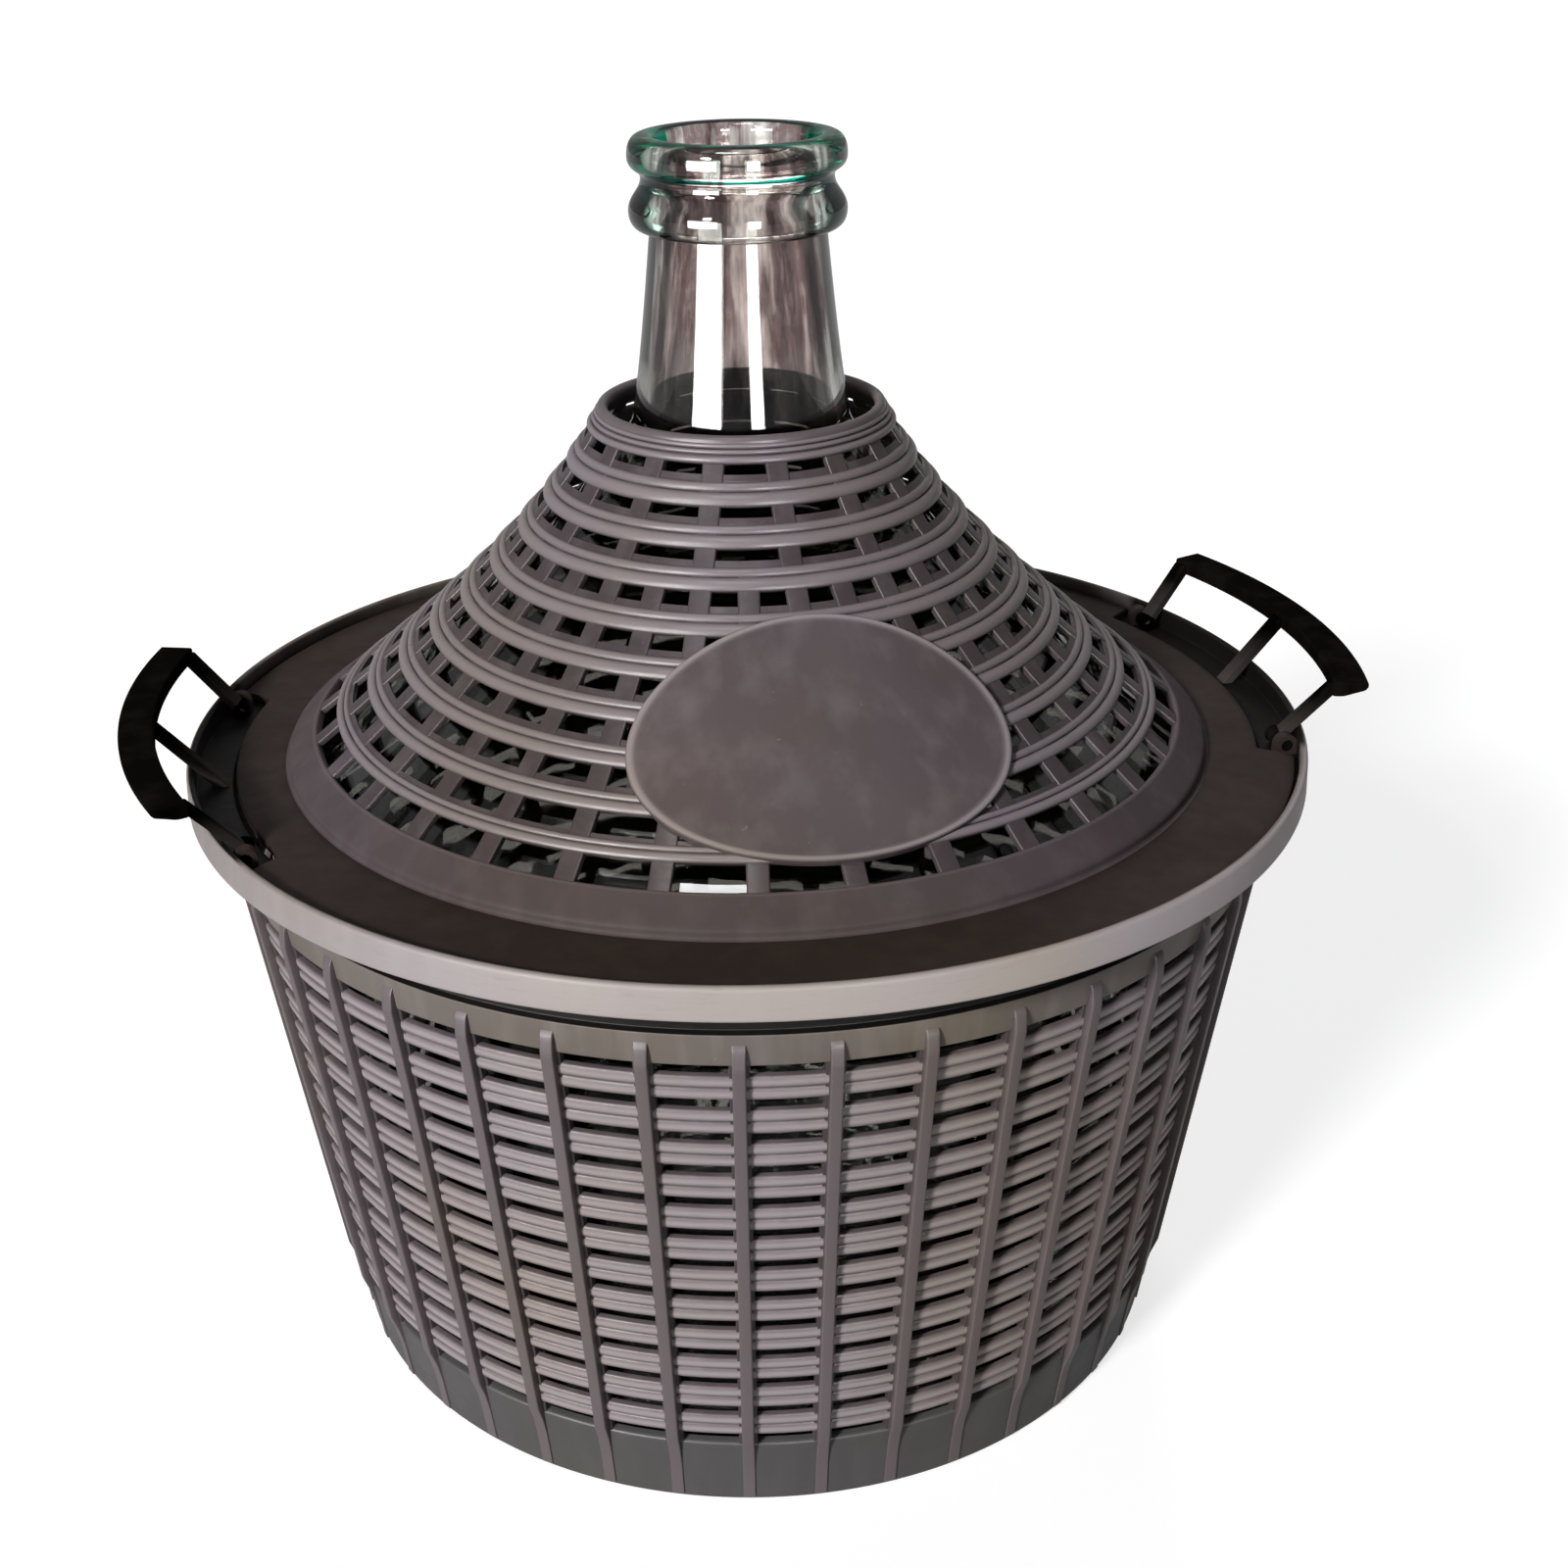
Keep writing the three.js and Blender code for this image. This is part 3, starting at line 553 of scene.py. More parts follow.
# The base, wear-and-light and hollow shade of each plastic, its roughness and its shine.
# The basket's and the lid's parts are one plastic: their base shades differ as painted light and shade,
# lighter on the lip's band and darker on the flange and the ribs.
SHADES = {
    "slat_plastic": ((108, 97, 101), (176, 165, 169), (74, 65, 68), 0.4, 0.2),
    "rib_plastic": ((98, 88, 91), (122, 112, 115), (74, 65, 68), 0.42, 0.2),
    "band_plastic": ((124, 115, 109), (194, 184, 187), (100, 92, 86), 0.46, 0.16),
    "base_plastic": ((88, 86, 86), (112, 109, 110), (72, 69, 70), 0.44, 0.2),
    "lid_plastic": ((78, 68, 72), (140, 130, 134), (58, 50, 52), 0.34, 0.24),
    "skirt_plastic": ((90, 80, 83), (122, 112, 116), (72, 63, 66), 0.5, 0.04),
    "flange_plastic": ((56, 47, 44), (80, 70, 65), (44, 36, 33), 0.5, 0.06),
    "plate_plastic": ((102, 92, 95), (156, 146, 149), (84, 75, 78), 0.5, 0.0),
    "handle_plastic": ((5, 4, 4), (74, 68, 66), (3, 3, 3), 0.5, 0.0),
}
MATERIALS = {name: plastic(name, *values) for name, values in SHADES.items()}
MATERIALS["bottle_glass"] = bottle_glass()


# Basket
def on_wall(along, out):
    """A place on the basket's wall: so far up its slope from the floor, and so far out from it."""
    sine, cosine = math.sin(WALL_SLOPE), math.cos(WALL_SLOPE)
    return np.stack([BASE_RADIUS + along * sine + out * cosine, along * cosine - out * sine], axis=-1)


def slot_middle(row):
    """The middle of a row of slots, along the slope."""
    return FIRST_SLOT + row * SLOT_PITCH


BAND_TOP = slot_middle(0) - SLOT_HEIGHT / 2
TOP_BAND_LOW = slot_middle(SLOT_ROWS - 1) + SLOT_HEIGHT / 2


def slats():
    """Level rings between the slots: two half ellipses side by side outside, a shallow curve at the back."""
    half = (SLOT_PITCH - SLOT_HEIGHT) / 2
    arc = np.cos(np.linspace(0, np.pi, 13))
    side = np.concatenate([-arc - 1, 1 - arc[1:]])
    out = ridge(np.abs(side), 1, 1)
    back = np.linspace(1, -1, 7)
    section_along = np.concatenate([side / 2, SLAT_BACK_SHARE * back]) * half
    section_out = np.concatenate([out * SLAT_RIDGE - SLAT_RIDGE, -WALL + SLAT_BACK_CURVE * np.abs(back) ** 3])
    # wear and painted highlight on the slats' two ridges
    relief = np.concatenate([out**4, 0 * back])
    made = []
    for row in range(SLOT_ROWS - 1):
        middle = slot_middle(row) + SLOT_PITCH / 2
        made.append(turned(on_wall(middle + section_along, section_out), relief))
    return made


def ribs():
    """Upright posts with a narrower rib on the face of each. The rib's rise falls to nothing near its top by
    a square root, and is a small share of the whole on the smooth band at the foot.
    """
    post, rib, face = POST_WIDTH / 2, RIB_WIDTH / 2, -POST_INSET
    corners = [(-post, -WALL), (post, -WALL), (post, face), (rib, face),
               (rib, RIB_RISE), (-rib, RIB_RISE), (-rib, face), (-post, face)]
    section = rounded(corners, [0.4, 0.4, 0.3, 0.2, 0.6, 0.6, 0.2, 0.3], steps=4)
    top = slot_middle(SLOT_ROWS - 1) + RIB_HEAD
    fade = top - RIB_FADE
    along = np.concatenate([[RIB_FOOT], np.linspace(3, fade - 1, 28), np.linspace(fade, top, 8)])
    low = RIB_LOW_SHARE + (1 - RIB_LOW_SHARE) * (along - BAND_TOP + RIB_LOW_FADE) / RIB_LOW_FADE
    stands = np.clip((top - along) / RIB_FADE, 0, 1) ** 0.5 * np.clip(low, RIB_LOW_SHARE, 1)
    out = np.where(section[:, 1] > 0, section[:, 1] * stands[:, None], section[:, 1])
    place = on_wall(along, 0 * along)
    rings = np.stack([section[:, 0] + 0 * out, out], axis=-1)
    # wear and painted highlight on the rib's top, painted shade on the post and the rib's lower sides
    relief = np.clip(section[:, 1] / RIB_RISE, 0, 1) ** 2 - RIB_SIDE_SHADE
    made = []
    for angle in full_turn(RIB_COUNT) + HALF_BAY:
        made.append(shell(standing(rings, place[:, :1], place[:, 1:], angle), relief=relief))
    return made


def base():
    """The floor with the smooth band above it, as one profile from the axis out, up, in and back."""
    round_in, round_up, edge_down, edge_in, corner_round = 2.2, 2.4, 1.2, 1.4, 4
    inner_corner = on_wall(FLOOR, -WALL)
    heel = bezier((BASE_RADIUS - round_in, 0), (BASE_RADIUS, 0), on_wall(round_up, 0), steps=6)
    wall = on_wall(np.linspace(round_up + 0.8, BAND_TOP - 2, 8), np.zeros(8))
    top_edge = on_wall(BAND_TOP, 0)
    edge = bezier(on_wall(BAND_TOP - edge_down, 0), top_edge, on_wall(BAND_TOP, -edge_in), steps=5)
    inside = np.array([on_wall(BAND_TOP, -WALL + 0.5), on_wall(FLOOR + corner_round + 1, -WALL)])
    corner_end = inner_corner - (corner_round, 0)
    corner = bezier(on_wall(FLOOR + corner_round, -WALL), inner_corner, corner_end, steps=5)
    flat = np.linspace(BASE_RADIUS - FLOOR_MARGIN, AXIS_CLEAR, 8)
    profile = [level(flat[::-1], 0), heel, wall, edge, inside, corner, level(flat, FLOOR)]
    return [turned_from_axis(np.concatenate(profile))]


def rim():
    """The top band, the ledge that carries the lid and the lip round it, as one closed profile.

    Each row gives a corner, the setback of its rounding and the painted shade on it: near-black in the groove
    under the lip, under and on the ledge and a little inside the lip. The lip's outside is painted lighter at
    the front and the right and darker at the left and the back, as painted light.
    """
    lip_foot = RIM_TOP - LIP_HEIGHT
    groove = (lip_foot - UNDERCUT_PLACE) / math.cos(WALL_SLOPE)
    # the third column is painted shade: near-black in the groove under the lip, under and on the ledge and
    # inside the lip
    rows = [
        (on_wall(TOP_BAND_LOW, 0), 1, 0),
        (on_wall(groove, 0), 0.15, 0),
        (on_wall(groove + 0.2, -0.4), 0.1, 1),
        (on_wall(groove + 0.5, -UNDERCUT_DEPTH), 0.3, 1),
        ((WALL_TOP_RADIUS - UNDERCUT_DEPTH, LEDGE_UNDER), 0.8, 1),
        ((LIP_INSIDE, LEDGE_UNDER), 0.8, 1),
        ((LIP_INSIDE, lip_foot), 0.1, 0.5),
        ((RIM_RADIUS, lip_foot), 1, 0),
        ((RIM_RADIUS - LIP_DRAFT, RIM_TOP), 1.5, 0),
        ((LIP_INSIDE, RIM_TOP), 1.2, 0.3),
        ((LIP_INSIDE, LEDGE_TOP), 0.5, 1),
        ((WALL_TOP_RADIUS - WALL, LEDGE_TOP), 0.8, 1),
        (on_wall(TOP_BAND_LOW, -WALL), 0.6, 0),
    ]
    corners, setbacks, corner_shade = zip(*rows)
    profile = rounded(corners, setbacks)
    painted_shade = np.repeat(corner_shade, len(profile) // len(corners))
    angles = full_turn(TURN_FACETS)[:, None]
    # painted light on the lip's outside: lighter at the front and the right, darker at the left and the back
    lip_light = LIP_LIGHT - LIP_LIGHT_FRONT * np.sin(angles) + LIP_LIGHT_RIGHT * np.cos(angles)
    wear_and_light = np.clip((profile[:, 0] - LIP_INSIDE) / LIP_THICKNESS, 0, 1) * lip_light
    # painted shade: near the notches the ledge and the lip's inside go near-black
    inner = (profile[:, 0] < RIM_RADIUS - 1) & (profile[:, 1] > LEDGE_TOP - 1)
    relief = np.maximum(wear_and_light - painted_shade - 2 * inner * notch(angles), -1)
    return [turned(profile, relief)]


STRAP_DEPTH = STRAP / math.cos(HANDLE_LEAN)
LIP_CLEAR = LIP_INSIDE * math.cos(HALF_BAY) - SEAT_GAP


def strap_outside(height):
    """The radius of a leaning strap's outer face at a height."""
    return LIP_CLEAR + (height - RIM_TOP) * math.tan(HANDLE_LEAN)


HINGE_HEIGHT = LEDGE_TOP + SEAT_GAP + BARREL_RADIUS
HINGE_RADIUS = strap_outside(HINGE_HEIGHT) - STRAP_DEPTH / 2
END_STRAP_ANGLE = HANDLE_HALF_ANGLE - STRAP_WIDTH / 2 / HINGE_RADIUS
HINGE_X = HINGE_RADIUS * math.cos(END_STRAP_ANGLE)
END_STRAP_Y = HINGE_RADIUS * math.sin(END_STRAP_ANGLE)
EAR_START = END_STRAP_Y + STRAP_WIDTH / 2 + EAR_STANDOFF
EAR_END = EAR_START + EAR_THICKNESS


def ears():
    """Four small plates with a pin hole, round on top and square below: a distance for each angle."""
    turn = full_turn(EAR_FACETS)
    square = EAR_HALF / np.maximum(np.abs(np.cos(turn)), np.abs(np.sin(turn)))
    far = np.where(np.sin(turn) > 0, EAR_HALF, square)
    hole = np.full(EAR_FACETS, PIN_RADIUS + SEAT_GAP)
    places = np.array([EAR_START, EAR_END, EAR_END, EAR_START])
    away = np.stack([far, far, hole, hole], axis=-1)
    made = []
    for side in (-1, 1):
        for end in (-1, 1):
            x = side * HINGE_X + away * np.cos(turn)[:, None]
            z = HINGE_HEIGHT + away * np.sin(turn)[:, None]
            made.append(shell(np.stack([x, end * places + 0 * x, z], axis=-1), loop=True))
    return made


# Lid
CONE_WAIST = np.array([CONE_WAIST_RADIUS, RIM_TOP + CONE_WAIST_HEIGHT])
CONE = bezier((CONE_RADIUS, FLANGE_TOP + CONE_STEP), CONE_WAIST, (COLLAR_RADIUS, COLLAR_TOP), steps=400)
CONE_REACH = np.concatenate([[0], np.cumsum(np.linalg.norm(np.diff(CONE, axis=0), axis=1))])
CONE_WAY = np.gradient(CONE, CONE_REACH, axis=0)
CONE_LENGTH = CONE_REACH[-1]
LOWER_TOP = FOOT_BAND + LOWER_ROWS * LOWER_PITCH


def on_cone(along, out):
    """A place on the lid's cone: so far up its slope from the foot, and so far out from it."""
    spot = [np.interp(along, CONE_REACH, CONE[:, i]) for i in range(2)]
    way = [np.interp(along, CONE_REACH, CONE_WAY[:, i]) for i in range(2)]
    return np.stack([spot[0] + way[1] * out, spot[1] - way[0] * out], axis=-1)


def lid_row(row):
    """The middle of a row of slots, along the slope."""
    if row < LOWER_ROWS:
        return FOOT_BAND + (row + 0.5) * LOWER_PITCH
    return LOWER_TOP + (row - LOWER_ROWS + 0.5) * UPPER_PITCH


def slot_foot(row):
    """The lower edge of a row of slots, along the slope."""
    return lid_row(row) - LID_SLOTS[row] / 2


def slot_head(row):
    """The upper edge of a row of slots, along the slope."""
    return lid_row(row) + LID_SLOTS[row] / 2


def lid_rings():
    """Level rings between the rows of slots, each with a thick ridge, a thin one above and a flat on top."""
    made = []
    for row in range(LAST_ROW):
        tall = slot_foot(row + 1) - slot_head(row)
        along = np.linspace(0, tall, 40)
        thick, thin = (ridge(along, middle * tall, half * tall) for middle, half in RING_RIDGES)
        out = THICK_RISE * thick + THIN_RISE * thin - RING_SINK
        back = np.linspace(tall - 0.5, 0.5, 8)
        # wear and painted highlight on the ridges
        relief = np.concatenate([np.maximum(thick, 0.9 * thin), 0 * back])
        section_out = np.concatenate([out, -LID_WALL + 0 * back])
        made.append(turned(on_cone(slot_head(row) + np.concatenate([along, back]), section_out), relief))
    return made


def lid_posts():
    """Strips that run up the cone between the slots: all of them up the lower rows, every second one on."""
    half, back, face = LID_POST_WIDTH / 2, -LID_WALL + LID_POST_BACK, -LID_POST_SINK
    corners = [(-half, back), (half, back), (half, face), (-half, face)]
    section = rounded(corners, [0.4, 0.4, 0.6, 0.6], steps=4)
    top = slot_head(LAST_ROW) + 1
    made = []
    for post, angle in enumerate(full_turn(LID_BAYS)):
        along = np.linspace(FOOT_BAND, LOWER_TOP if post % 2 else top, 40)
        spot = on_cone(along[:, None], section[:, 1])
        across = section[:, 0] + 0 * spot[..., 0]
        rings = standing(np.stack([across, 0 * across], axis=-1), spot[..., 0], spot[..., 1], angle)
        made.append(shell(rings))
    return made


def notch(angles):
    """How deep the flange is cut at an angle: nothing away from the handles, all of it behind them."""
    from_handle = np.abs((angles + np.pi / 2) % np.pi - np.pi / 2)
    share = np.clip((NOTCH_HALF_ANGLE - from_handle) / NOTCH_SIDE_ANGLE, 0, 1)
    return share * share * (3 - 2 * share)


def flange():
    """The flat flange as a closed profile whose outer edge moves in at the notches."""
    outside, inside, fillet = FLANGE_RADIUS, CONE_RADIUS - LID_WALL, 0.6
    edge = np.array([
        (outside - 0.5, FLANGE_UNDER), (outside, FLANGE_UNDER + 0.5), (outside, FLANGE_TOP - 0.9),
        (outside - 0.3, FLANGE_TOP - 0.25), (outside - 0.9, FLANGE_TOP),
    ])
    face = level(np.linspace(outside - 3, CONE_RADIUS - 1, 8), FLANGE_TOP)
    under = np.array([
        (inside, FLANGE_TOP - fillet), (inside, FLANGE_UNDER + fillet), (inside + fillet, FLANGE_UNDER),
    ])
    profile = np.concatenate([edge, face, under])
    share = np.clip((profile[:, 0] - CONE_RADIUS - 2) / (outside - CONE_RADIUS - 5), 0, 1)
    angles = full_turn(FLANGE_FACETS)
    rings = about_axis(profile, angles)
    shrink = 1 - share * (notch(angles) * (1 - NOTCH_RADIUS / outside))[:, None]
    rings[..., :2] *= shrink[..., None]
    return [shell(rings, loop=True)]


def skirt():
    """The smooth foot of the cone up to the lowest slots: a closed profile with an upright step below."""
    low = slot_foot(0)
    round_up, overlap = 1.2, 0.4
    foot = bezier((CONE_RADIUS + round_up, FLANGE_TOP), (CONE_RADIUS + 0.2, FLANGE_TOP),
                  (CONE_RADIUS, FLANGE_TOP + round_up), steps=5)
    step_top = (CONE_RADIUS, FLANGE_TOP + CONE_STEP - 1)
    shoulder = bezier(step_top, on_cone(0.0, 0.0), on_cone(1.6, 0.0), steps=5)
    face = on_cone(np.linspace(2.6, low - 1.6, 8), np.zeros(8))
    edge = bezier(on_cone(low - round_up, 0.0), on_cone(low, 0.0), on_cone(low, -round_up), steps=4)
    inside = on_cone(np.linspace(low, 3.5, 5), np.full(5, -LID_WALL))
    under = level(np.array([CONE_RADIUS - LID_WALL, CONE_RADIUS + 1]), FLANGE_TOP - overlap)
    parts = [foot, shoulder, face, edge, inside, under]
    # wear and painted highlight on the skirt's top edge
    relief = np.concatenate([np.full(len(part), SKIRT_WEAR_AND_LIGHT if part is edge else 0.0) for part in parts])
    return [turned(np.concatenate(parts), relief)]


def collar():
    """The ring round the neck: three ridges up its outside, a rolled top edge and a plain inside."""
    low = slot_head(LAST_ROW)
    along = np.linspace(low, CONE_LENGTH - 2.2, 48)
    tall = along[-1] - low
    thick, thin, last = (ridge(along, low + middle * tall, half * tall) for middle, half in COLLAR_RIDGES)
    out = THICK_RISE * thick + THIN_RISE * thin + THIN_RISE * last - COLLAR_SINK
    bead_middle = np.array([COLLAR_RADIUS - LID_WALL / 2 + 0.6, COLLAR_TOP - COLLAR_BEAD])
    turn = np.linspace(-0.1, np.pi + 0.3, 12)
    bead = bead_middle + COLLAR_BEAD * np.stack([np.cos(turn), np.sin(turn)], axis=-1)
    inside = on_cone(np.linspace(CONE_LENGTH - 4, low + 0.5, 8), np.full(8, -LID_WALL))
    profile = np.concatenate([on_cone(along, out), bead, inside])
    # wear and painted highlight on the ridges and the rolled edge
    wear_and_light = np.maximum(thick, np.maximum(thin, last))
    relief = np.concatenate([wear_and_light, np.full(len(bead), BEAD_WEAR_AND_LIGHT), np.zeros(len(inside))])
    return [turned(profile, relief)]


def plate():
    """An oval patch of the cone with a thin border. Each ring of it is a smaller oval in the plane square to
    the cone's front, dropped on to the cone: a point to the side lies further back, so it lies lower on the
    slope.
    """
    border = PLATE_BORDER / (PLATE_HEIGHT / 2)
    face = [0.02, 0.3, 0.6, 0.85]
    edge = 1 - np.array([1.7, 1.25, 0.8, 0.35, 0.1]) * border
    back = [1, 1, 0.9, 0.6, 0.3, 0.02]
    size = np.concatenate([face, edge, back])
    edge_rise = [0, 0.1, PLATE_BORDER_RISE, PLATE_BORDER_RISE, 0.2]
    rise = PLATE_RISE + np.concatenate([[0] * 4, edge_rise, [-0.3, 0.2 - PLATE_DEPTH], [-PLATE_DEPTH] * 4])
    turn = full_turn(PLATE_FACETS)
    across = PLATE_WIDTH / 2 * size[:, None] * np.cos(turn)
    up = PLATE_HEIGHT / 2 * size[:, None] * np.sin(turn)
    way = np.interp(PLATE_PLACE, CONE_REACH, -CONE_WAY[:, 0])
    along = PLATE_PLACE + up
    for _ in range(6):
        radius = on_cone(along, 0 * along)[..., 0]
        along = PLATE_PLACE + up - (radius - np.sqrt(radius**2 - across**2)) * way
    spot = on_cone(along, rise[:, None] + 0 * along)
    lean = np.arcsin(across / on_cone(along, 0 * along)[..., 0])
    rings = np.stack([spot[..., 0] * np.sin(lean), -spot[..., 0] * np.cos(lean), spot[..., 1]], axis=-1)
    # wear and painted highlight on the plate's raised border
    relief = np.clip((rise - PLATE_RISE) / PLATE_BORDER_RISE, 0, 1) * (size > 0.9)
    return [shell(rings, relief=relief[:, None])]


# Handles
def handle(side):
    """A curved grip that flares out to a thin edge, on three leaning straps with round feet and pins."""
    grip_under = GRIP_TOP - GRIP_THICKNESS
    inside = strap_outside(GRIP_TOP) - STRAP_DEPTH + GRIP_TRIM
    corners = [
        (inside, grip_under), (inside + STRAP_DEPTH - 1, grip_under),
        (GRIP_OUTSIDE - 1, GRIP_TOP - GRIP_FLARE), (GRIP_OUTSIDE, GRIP_TOP - GRIP_EDGE),
        (GRIP_OUTSIDE, GRIP_TOP), (inside, GRIP_TOP),
    ]
    profile = rounded(corners, [0.6, 1.2, 0.5, 0.4, 0.6, 0.9])
    sweep = np.linspace(-HANDLE_HALF_ANGLE, HANDLE_HALF_ANGLE, 49)
    # the whole grip is darkened towards a near-black
    made = [shell(about_axis(profile, sweep), relief=-GRIP_DARKENING)]
    half = STRAP_WIDTH / 2
    strap = [(-half, -STRAP_DEPTH), (half, -STRAP_DEPTH), (half, 0), (-half, 0)]
    section = rounded(strap, [0.7] * 4, steps=4)
    share = np.linspace(0, 1, 12)[:, None]
    # painted light: each strap is lightest at its foot and plain further up
    lit = np.clip(1 - STRAP_LIGHT_FADE * share, 0, 1)
    middle_foot = LEDGE_TOP + SEAT_GAP
    for angle, foot in ((0, middle_foot), (-END_STRAP_ANGLE, HINGE_HEIGHT), (END_STRAP_ANGLE, HINGE_HEIGHT)):
        heights = foot + share * (GRIP_TOP - STRAP_SINK - foot)
        out = strap_outside(heights) + share * GRIP_TRIM
        made.append(shell(standing(section[None] + 0 * heights[..., None], out, heights, angle), relief=lit))
    hinge = (HINGE_X, HINGE_HEIGHT)
    for end in (-1, 1):
        inner, outer = end * (END_STRAP_Y - half), end * (END_STRAP_Y + half)
        made.append(shell(across_y(disc(hinge, BARREL_RADIUS), inner, outer)))
        made.append(shell(across_y(disc(hinge, PIN_RADIUS), end * END_STRAP_Y, end * EAR_END)))
    if side < 0:
        for each in made:
            each["points"] = each["points"] * (-1, -1, 1)
    return made


# Demijohn
def bottle_side(gap, foot, neck_radius):
    """One side of the glass from its foot up to the ring, so far in from the basket and the lid.

    It has a round heel, the wall's slope, a shoulder that turns into the cone's direction, the cone's own
    curve and a tapering neck.
    """
    heights = (BOTTLE_BASE + HEEL_HEIGHT, RIM_TOP - SHOULDER_DROP)
    heel, shoulder = (on_wall(height / math.cos(WALL_SLOPE), -WALL - gap) for height in heights)
    rising = unit(shoulder - heel)
    lower_way, upper_way = unit(CONE_WAIST - CONE[0]), unit(CONE[-1] - CONE_WAIST)
    inset = LID_WALL + gap
    cone_foot = CONE[0] + left_of(lower_way) * inset
    cone_waist = CONE_WAIST + left_of(unit(lower_way + upper_way)) * inset
    cone_top = CONE[-1] + left_of(upper_way) * (inset + NECK_GAP - BOTTLE_GAP)
    bend = -NECK_EASE * (cone_top[0] - neck_radius)
    neck_foot = cone_top + (bend, NECK_BENDS[0])
    neck_bend = neck_foot + (bend, NECK_BENDS[1])
    ease_in, ease_out = shoulder + rising * SHOULDER_EASE, cone_foot - lower_way * SHOULDER_EASE
    curves = [
        bezier((heel[0] - HEEL_HEIGHT, foot), (heel[0], foot), heel, steps=BOTTLE_STEPS),
        bezier(heel, shoulder, steps=4),
        bezier(shoulder, ease_in, ease_out, cone_foot, steps=BOTTLE_STEPS),
        bezier(cone_foot, cone_waist, cone_top, steps=BOTTLE_STEPS),
        bezier(cone_top, neck_foot, neck_bend, (neck_radius, RING_UNDER), steps=BOTTLE_STEPS),
    ]
    return np.concatenate([curves[0]] + [curve[1:] for curve in curves[1:]])


def demijohn():
    """The whole bottle as one profile from the hollow under its foot, up the outside and down the inside."""
    outside = bottle_side(BOTTLE_GAP, BOTTLE_BASE, NECK_RADIUS)
    inside = bottle_side(BOTTLE_GAP + GLASS, BOTTLE_BASE + GLASS, NECK_RADIUS - GLASS)
    ring_middle, mouth_middle = COLLAR_TOP + RING_PLACE, COLLAR_TOP + MOUTH_PLACE
    waist = RING_RADIUS - GROOVE_DEPTH
    ring, groove, mouth = (RING_RADIUS, ring_middle), (waist, GROOVE_PLACE), (RING_RADIUS, mouth_middle)
    into_groove = (RING_RADIUS, ring_middle + RING_PULL), (waist, GROOVE_PLACE - GROOVE_PULLS[0])
    out_of_groove = (waist, GROOVE_PLACE + GROOVE_PULLS[1]), (RING_RADIUS, mouth_middle - MOUTH_PULL)
    flat_outside, flat_inside = ((MOUTH_BORE + width, MOUTH_TOP) for width in MOUTH_FLAT)
    bore_top = (MOUTH_BORE, MOUTH_TOP - MOUTH_ROUND)
    finish = [
        bezier((NECK_RADIUS, RING_UNDER), (RING_RADIUS, RING_UNDER), ring, steps=10)[1:],
        bezier(ring, *into_groove, groove, steps=12)[1:],
        bezier(groove, *out_of_groove, mouth, steps=12)[1:],
        bezier(mouth, (RING_RADIUS, MOUTH_TOP), flat_outside, steps=10)[1:],
        bezier(flat_inside, (MOUTH_BORE, MOUTH_TOP), bore_top, steps=8),
        bezier((MOUTH_BORE, RING_UNDER + BORE_EASE), (MOUTH_BORE, RING_UNDER), inside[-1], steps=6)[:-1],
    ]
    foot, hollow = outside[0][0], BOTTLE_BASE + PUNT
    foot_inside = (foot - FOOT_RING, BOTTLE_BASE + 0.4)
    under = bezier((AXIS_CLEAR, hollow), (foot * PUNT_SHARE, hollow), foot_inside, steps=12)
    bottom = bezier(inside[0], (foot * PUNT_SHARE, hollow + GLASS), (AXIS_CLEAR, hollow + GLASS), steps=12)
    profile = np.concatenate([under, outside, *finish, inside[::-1], bottom[1:]])
    return [turned_from_axis(profile, BOTTLE_FACETS)]


piece("basket_slats", slats(), MATERIALS["slat_plastic"], "basket")
piece("basket_ribs", ribs(), MATERIALS["rib_plastic"], "basket")
piece("basket_base", base(), MATERIALS["base_plastic"], "basket")
piece("basket_rim", rim(), MATERIALS["band_plastic"], "basket")
piece("basket_ears", ears(), MATERIALS["flange_plastic"], "basket")
piece("lid_rings", lid_rings(), MATERIALS["lid_plastic"], "lid")
piece("lid_posts", lid_posts(), MATERIALS["lid_plastic"], "lid")
piece("lid_flange", flange(), MATERIALS["flange_plastic"], "lid")
piece("lid_skirt", skirt(), MATERIALS["skirt_plastic"], "lid")
piece("lid_collar", collar(), MATERIALS["lid_plastic"], "lid")
piece("lid_plate", plate(), MATERIALS["plate_plastic"], "lid")
piece("handle_right_grip", handle(1), MATERIALS["handle_plastic"], "handle_right")
piece("handle_left_grip", handle(-1), MATERIALS["handle_plastic"], "handle_left")
piece("bottle", demijohn(), MATERIALS["bottle_glass"], "demijohn")

# Studio
CAMERA_AZIMUTH = -12.3
CAMERA_ELEVATION = 22.885
CAMERA_DISTANCE = 0.7681
CAMERA_ROLL = -0.95
IMAGE_WIDTH = 1600
FOCAL_PIXELS = 2205.1
AIM_PIXEL = (761.5, 726.1)
SENSOR = 36
RIM_MIDDLE = Vector((0, 0, RIM_TOP * MM))
CARD_DISTANCE = 1.5
FLOOR_HALF = 9
FLOOR_GLOW = 0.74
FLOOR_MIRRORED = 0.25  # share of the white floor that mirrors show
ROOM_LIGHT = (0.095, 0.095, 0.1, 1)
ROOM_MIRRORED = (0.12, 0.2)  # share of the white room that mirrors show in front of the object and behind it


def from_side(azimuth, elevation):
    """The direction from the object to a place at an azimuth and an elevation in degrees."""
    around, up = math.radians(azimuth), math.radians(elevation)
    return Vector((math.sin(around) * math.cos(up), -math.cos(around) * math.cos(up), math.sin(up)))


def aimed(name, data, back):
    """An object in the scene that looks along the opposite of a direction."""
    made = placed(name, data)
    made.rotation_mode = "QUATERNION"
    made.rotation_quaternion = back.to_track_quat("Z", "Y")
    return made


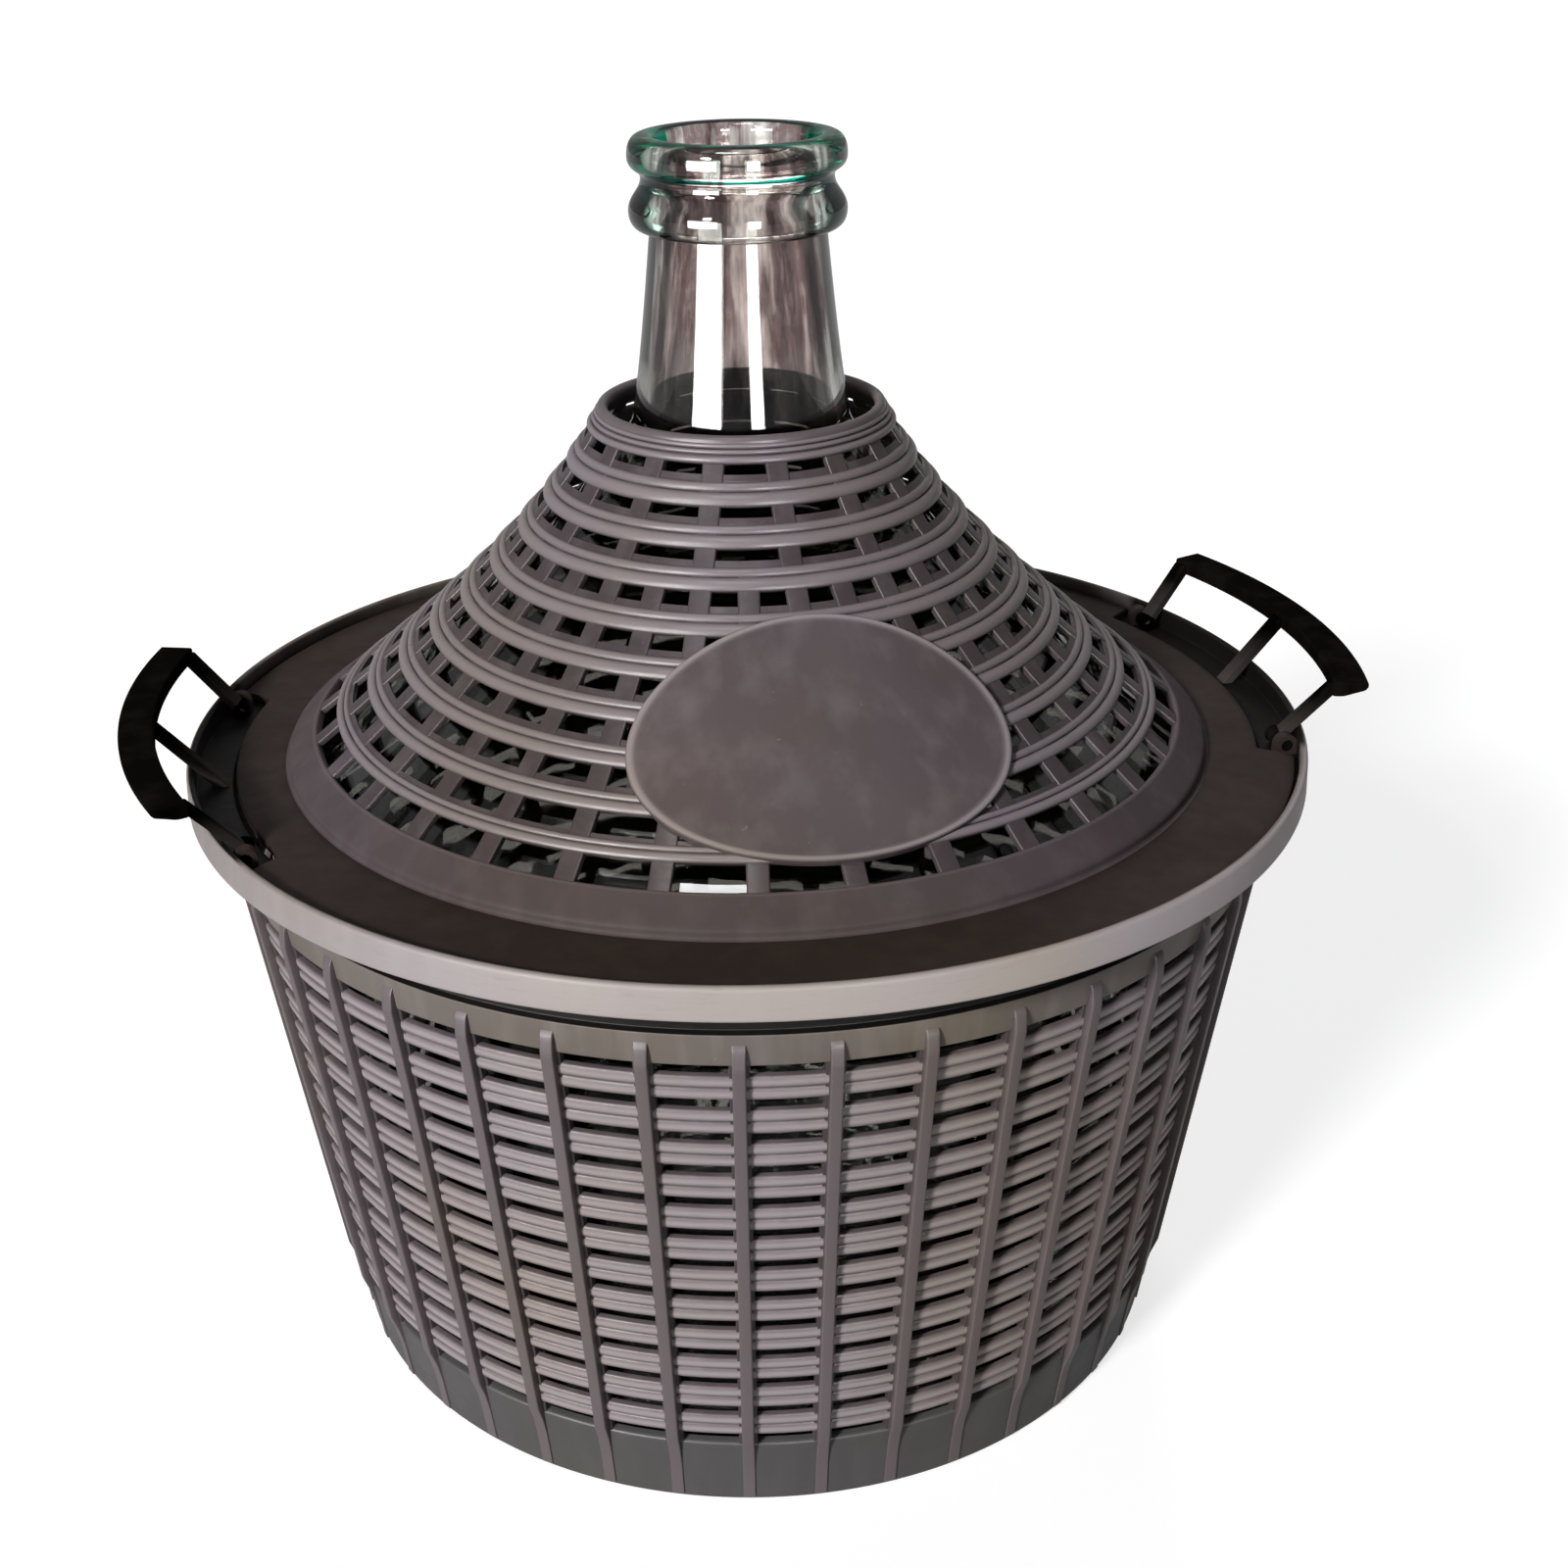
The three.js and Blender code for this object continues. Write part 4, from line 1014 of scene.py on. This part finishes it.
def camera():
    """Looks at the axis in the plane of the rim, with that point at its place in the picture."""
    back = from_side(CAMERA_AZIMUTH, CAMERA_ELEVATION)
    made = aimed("camera", bpy.data.cameras.new("camera"), back)
    made.location = RIM_MIDDLE + back * CAMERA_DISTANCE
    made.rotation_quaternion = back.to_track_quat("Z", "Y") @ Quaternion((0, 0, 1), math.radians(CAMERA_ROLL))
    made.data.sensor_width = SENSOR
    made.data.lens = SENSOR * FOCAL_PIXELS / IMAGE_WIDTH
    made.data.shift_x = 0.5 - AIM_PIXEL[0] / IMAGE_WIDTH
    made.data.shift_y = AIM_PIXEL[1] / IMAGE_WIDTH - 0.5
    bpy.context.scene.camera = made


def card(name, azimuth, elevation, width, height, strength):
    """A bright card that only shows as a reflection, turned to the middle of the basket's rim."""
    back = from_side(azimuth, elevation)
    made = aimed(name, bpy.data.lights.new(name, "AREA"), back)
    made.location = RIM_MIDDLE + back * CARD_DISTANCE
    made.data.shape = "RECTANGLE"
    made.data.size = width
    made.data.size_y = height
    made.data.energy = strength * math.pi * width * height
    made.visible_diffuse = False


def sun(name, azimuth, elevation, softness, strength, mirrored=True):
    """Light from far away. Its softness is the angle in degrees that it fills in the sky."""
    made = aimed(name, bpy.data.lights.new(name, "SUN"), from_side(azimuth, elevation))
    made.data.angle = math.radians(softness)
    made.data.energy = strength
    made.visible_glossy = mirrored


def seen_directly(tree, mirrored):
    """One for rays from the camera or through glass, a share for mirrored ones, nothing for the rest."""
    path = put(tree, "ShaderNodeLightPath").outputs
    seen = sums(tree, "MAXIMUM", path["Is Camera Ray"], path["Is Transmission Ray"])
    return sums(tree, "MAXIMUM", seen, sums(tree, "MULTIPLY", path["Is Glossy Ray"], mirrored))


def floor():
    """A pale paper sheet. Seen directly it glows a little, so that it is white and still keeps the shadow."""
    mesh = bpy.data.meshes.new("floor")
    corners = [(-FLOOR_HALF, -FLOOR_HALF, 0), (FLOOR_HALF, -FLOOR_HALF, 0),
               (FLOOR_HALF, FLOOR_HALF, 0), (-FLOOR_HALF, FLOOR_HALF, 0)]
    mesh.from_pydata(corners, [], [(0, 1, 2, 3)])
    made = placed("floor", mesh)
    material, tree, shader = node_material("pale_floor")
    place = put(tree, "ShaderNodeTexCoord").outputs["Object"]
    join(tree, shader, {
        "Base Color": mixed(tree, noise(tree, place, scale=3), colour(182, 182, 182), colour(178, 178, 178)),
        "Roughness": 0.9, "Specular IOR Level": 0, "Emission Color": WHITE,
        "Emission Strength": sums(tree, "MULTIPLY", seen_directly(tree, FLOOR_MIRRORED), FLOOR_GLOW),
    })
    mesh.materials.append(material)


def world():
    """An even grey room that is white where it is seen directly, and dim in mirrors, least so at the back."""
    made = bpy.data.worlds.new("room")
    bpy.context.scene.world = made
    made.use_nodes = True
    tree = made.node_tree
    way = put(tree, "ShaderNodeTexCoord").outputs["Generated"]
    behind = put(tree, "ShaderNodeSeparateXYZ", {0: way}).outputs[1]
    in_front, at_back = ROOM_MIRRORED
    seen = seen_directly(tree, spread(tree, behind, low=-0.5, high=0.2, to_low=in_front, to_high=at_back))
    join(tree, tree.nodes["Background"], {"Color": mixed(tree, seen, ROOM_LIGHT, WHITE)})


camera()
floor()
world()
sun("front_light", azimuth=-47, elevation=28, softness=10, strength=3.0)
sun("back_light", azimuth=165, elevation=24, softness=24, strength=1.2, mirrored=False)
card("left_card", azimuth=-49.5, elevation=0, width=0.86, height=1.2, strength=26)
card("right_card", azimuth=4.6, elevation=0, width=0.36, height=1.2, strength=30)
card("top_card", azimuth=-30, elevation=70, width=0.4, height=0.25, strength=20)
bpy.context.scene.view_settings.view_transform = "Standard"
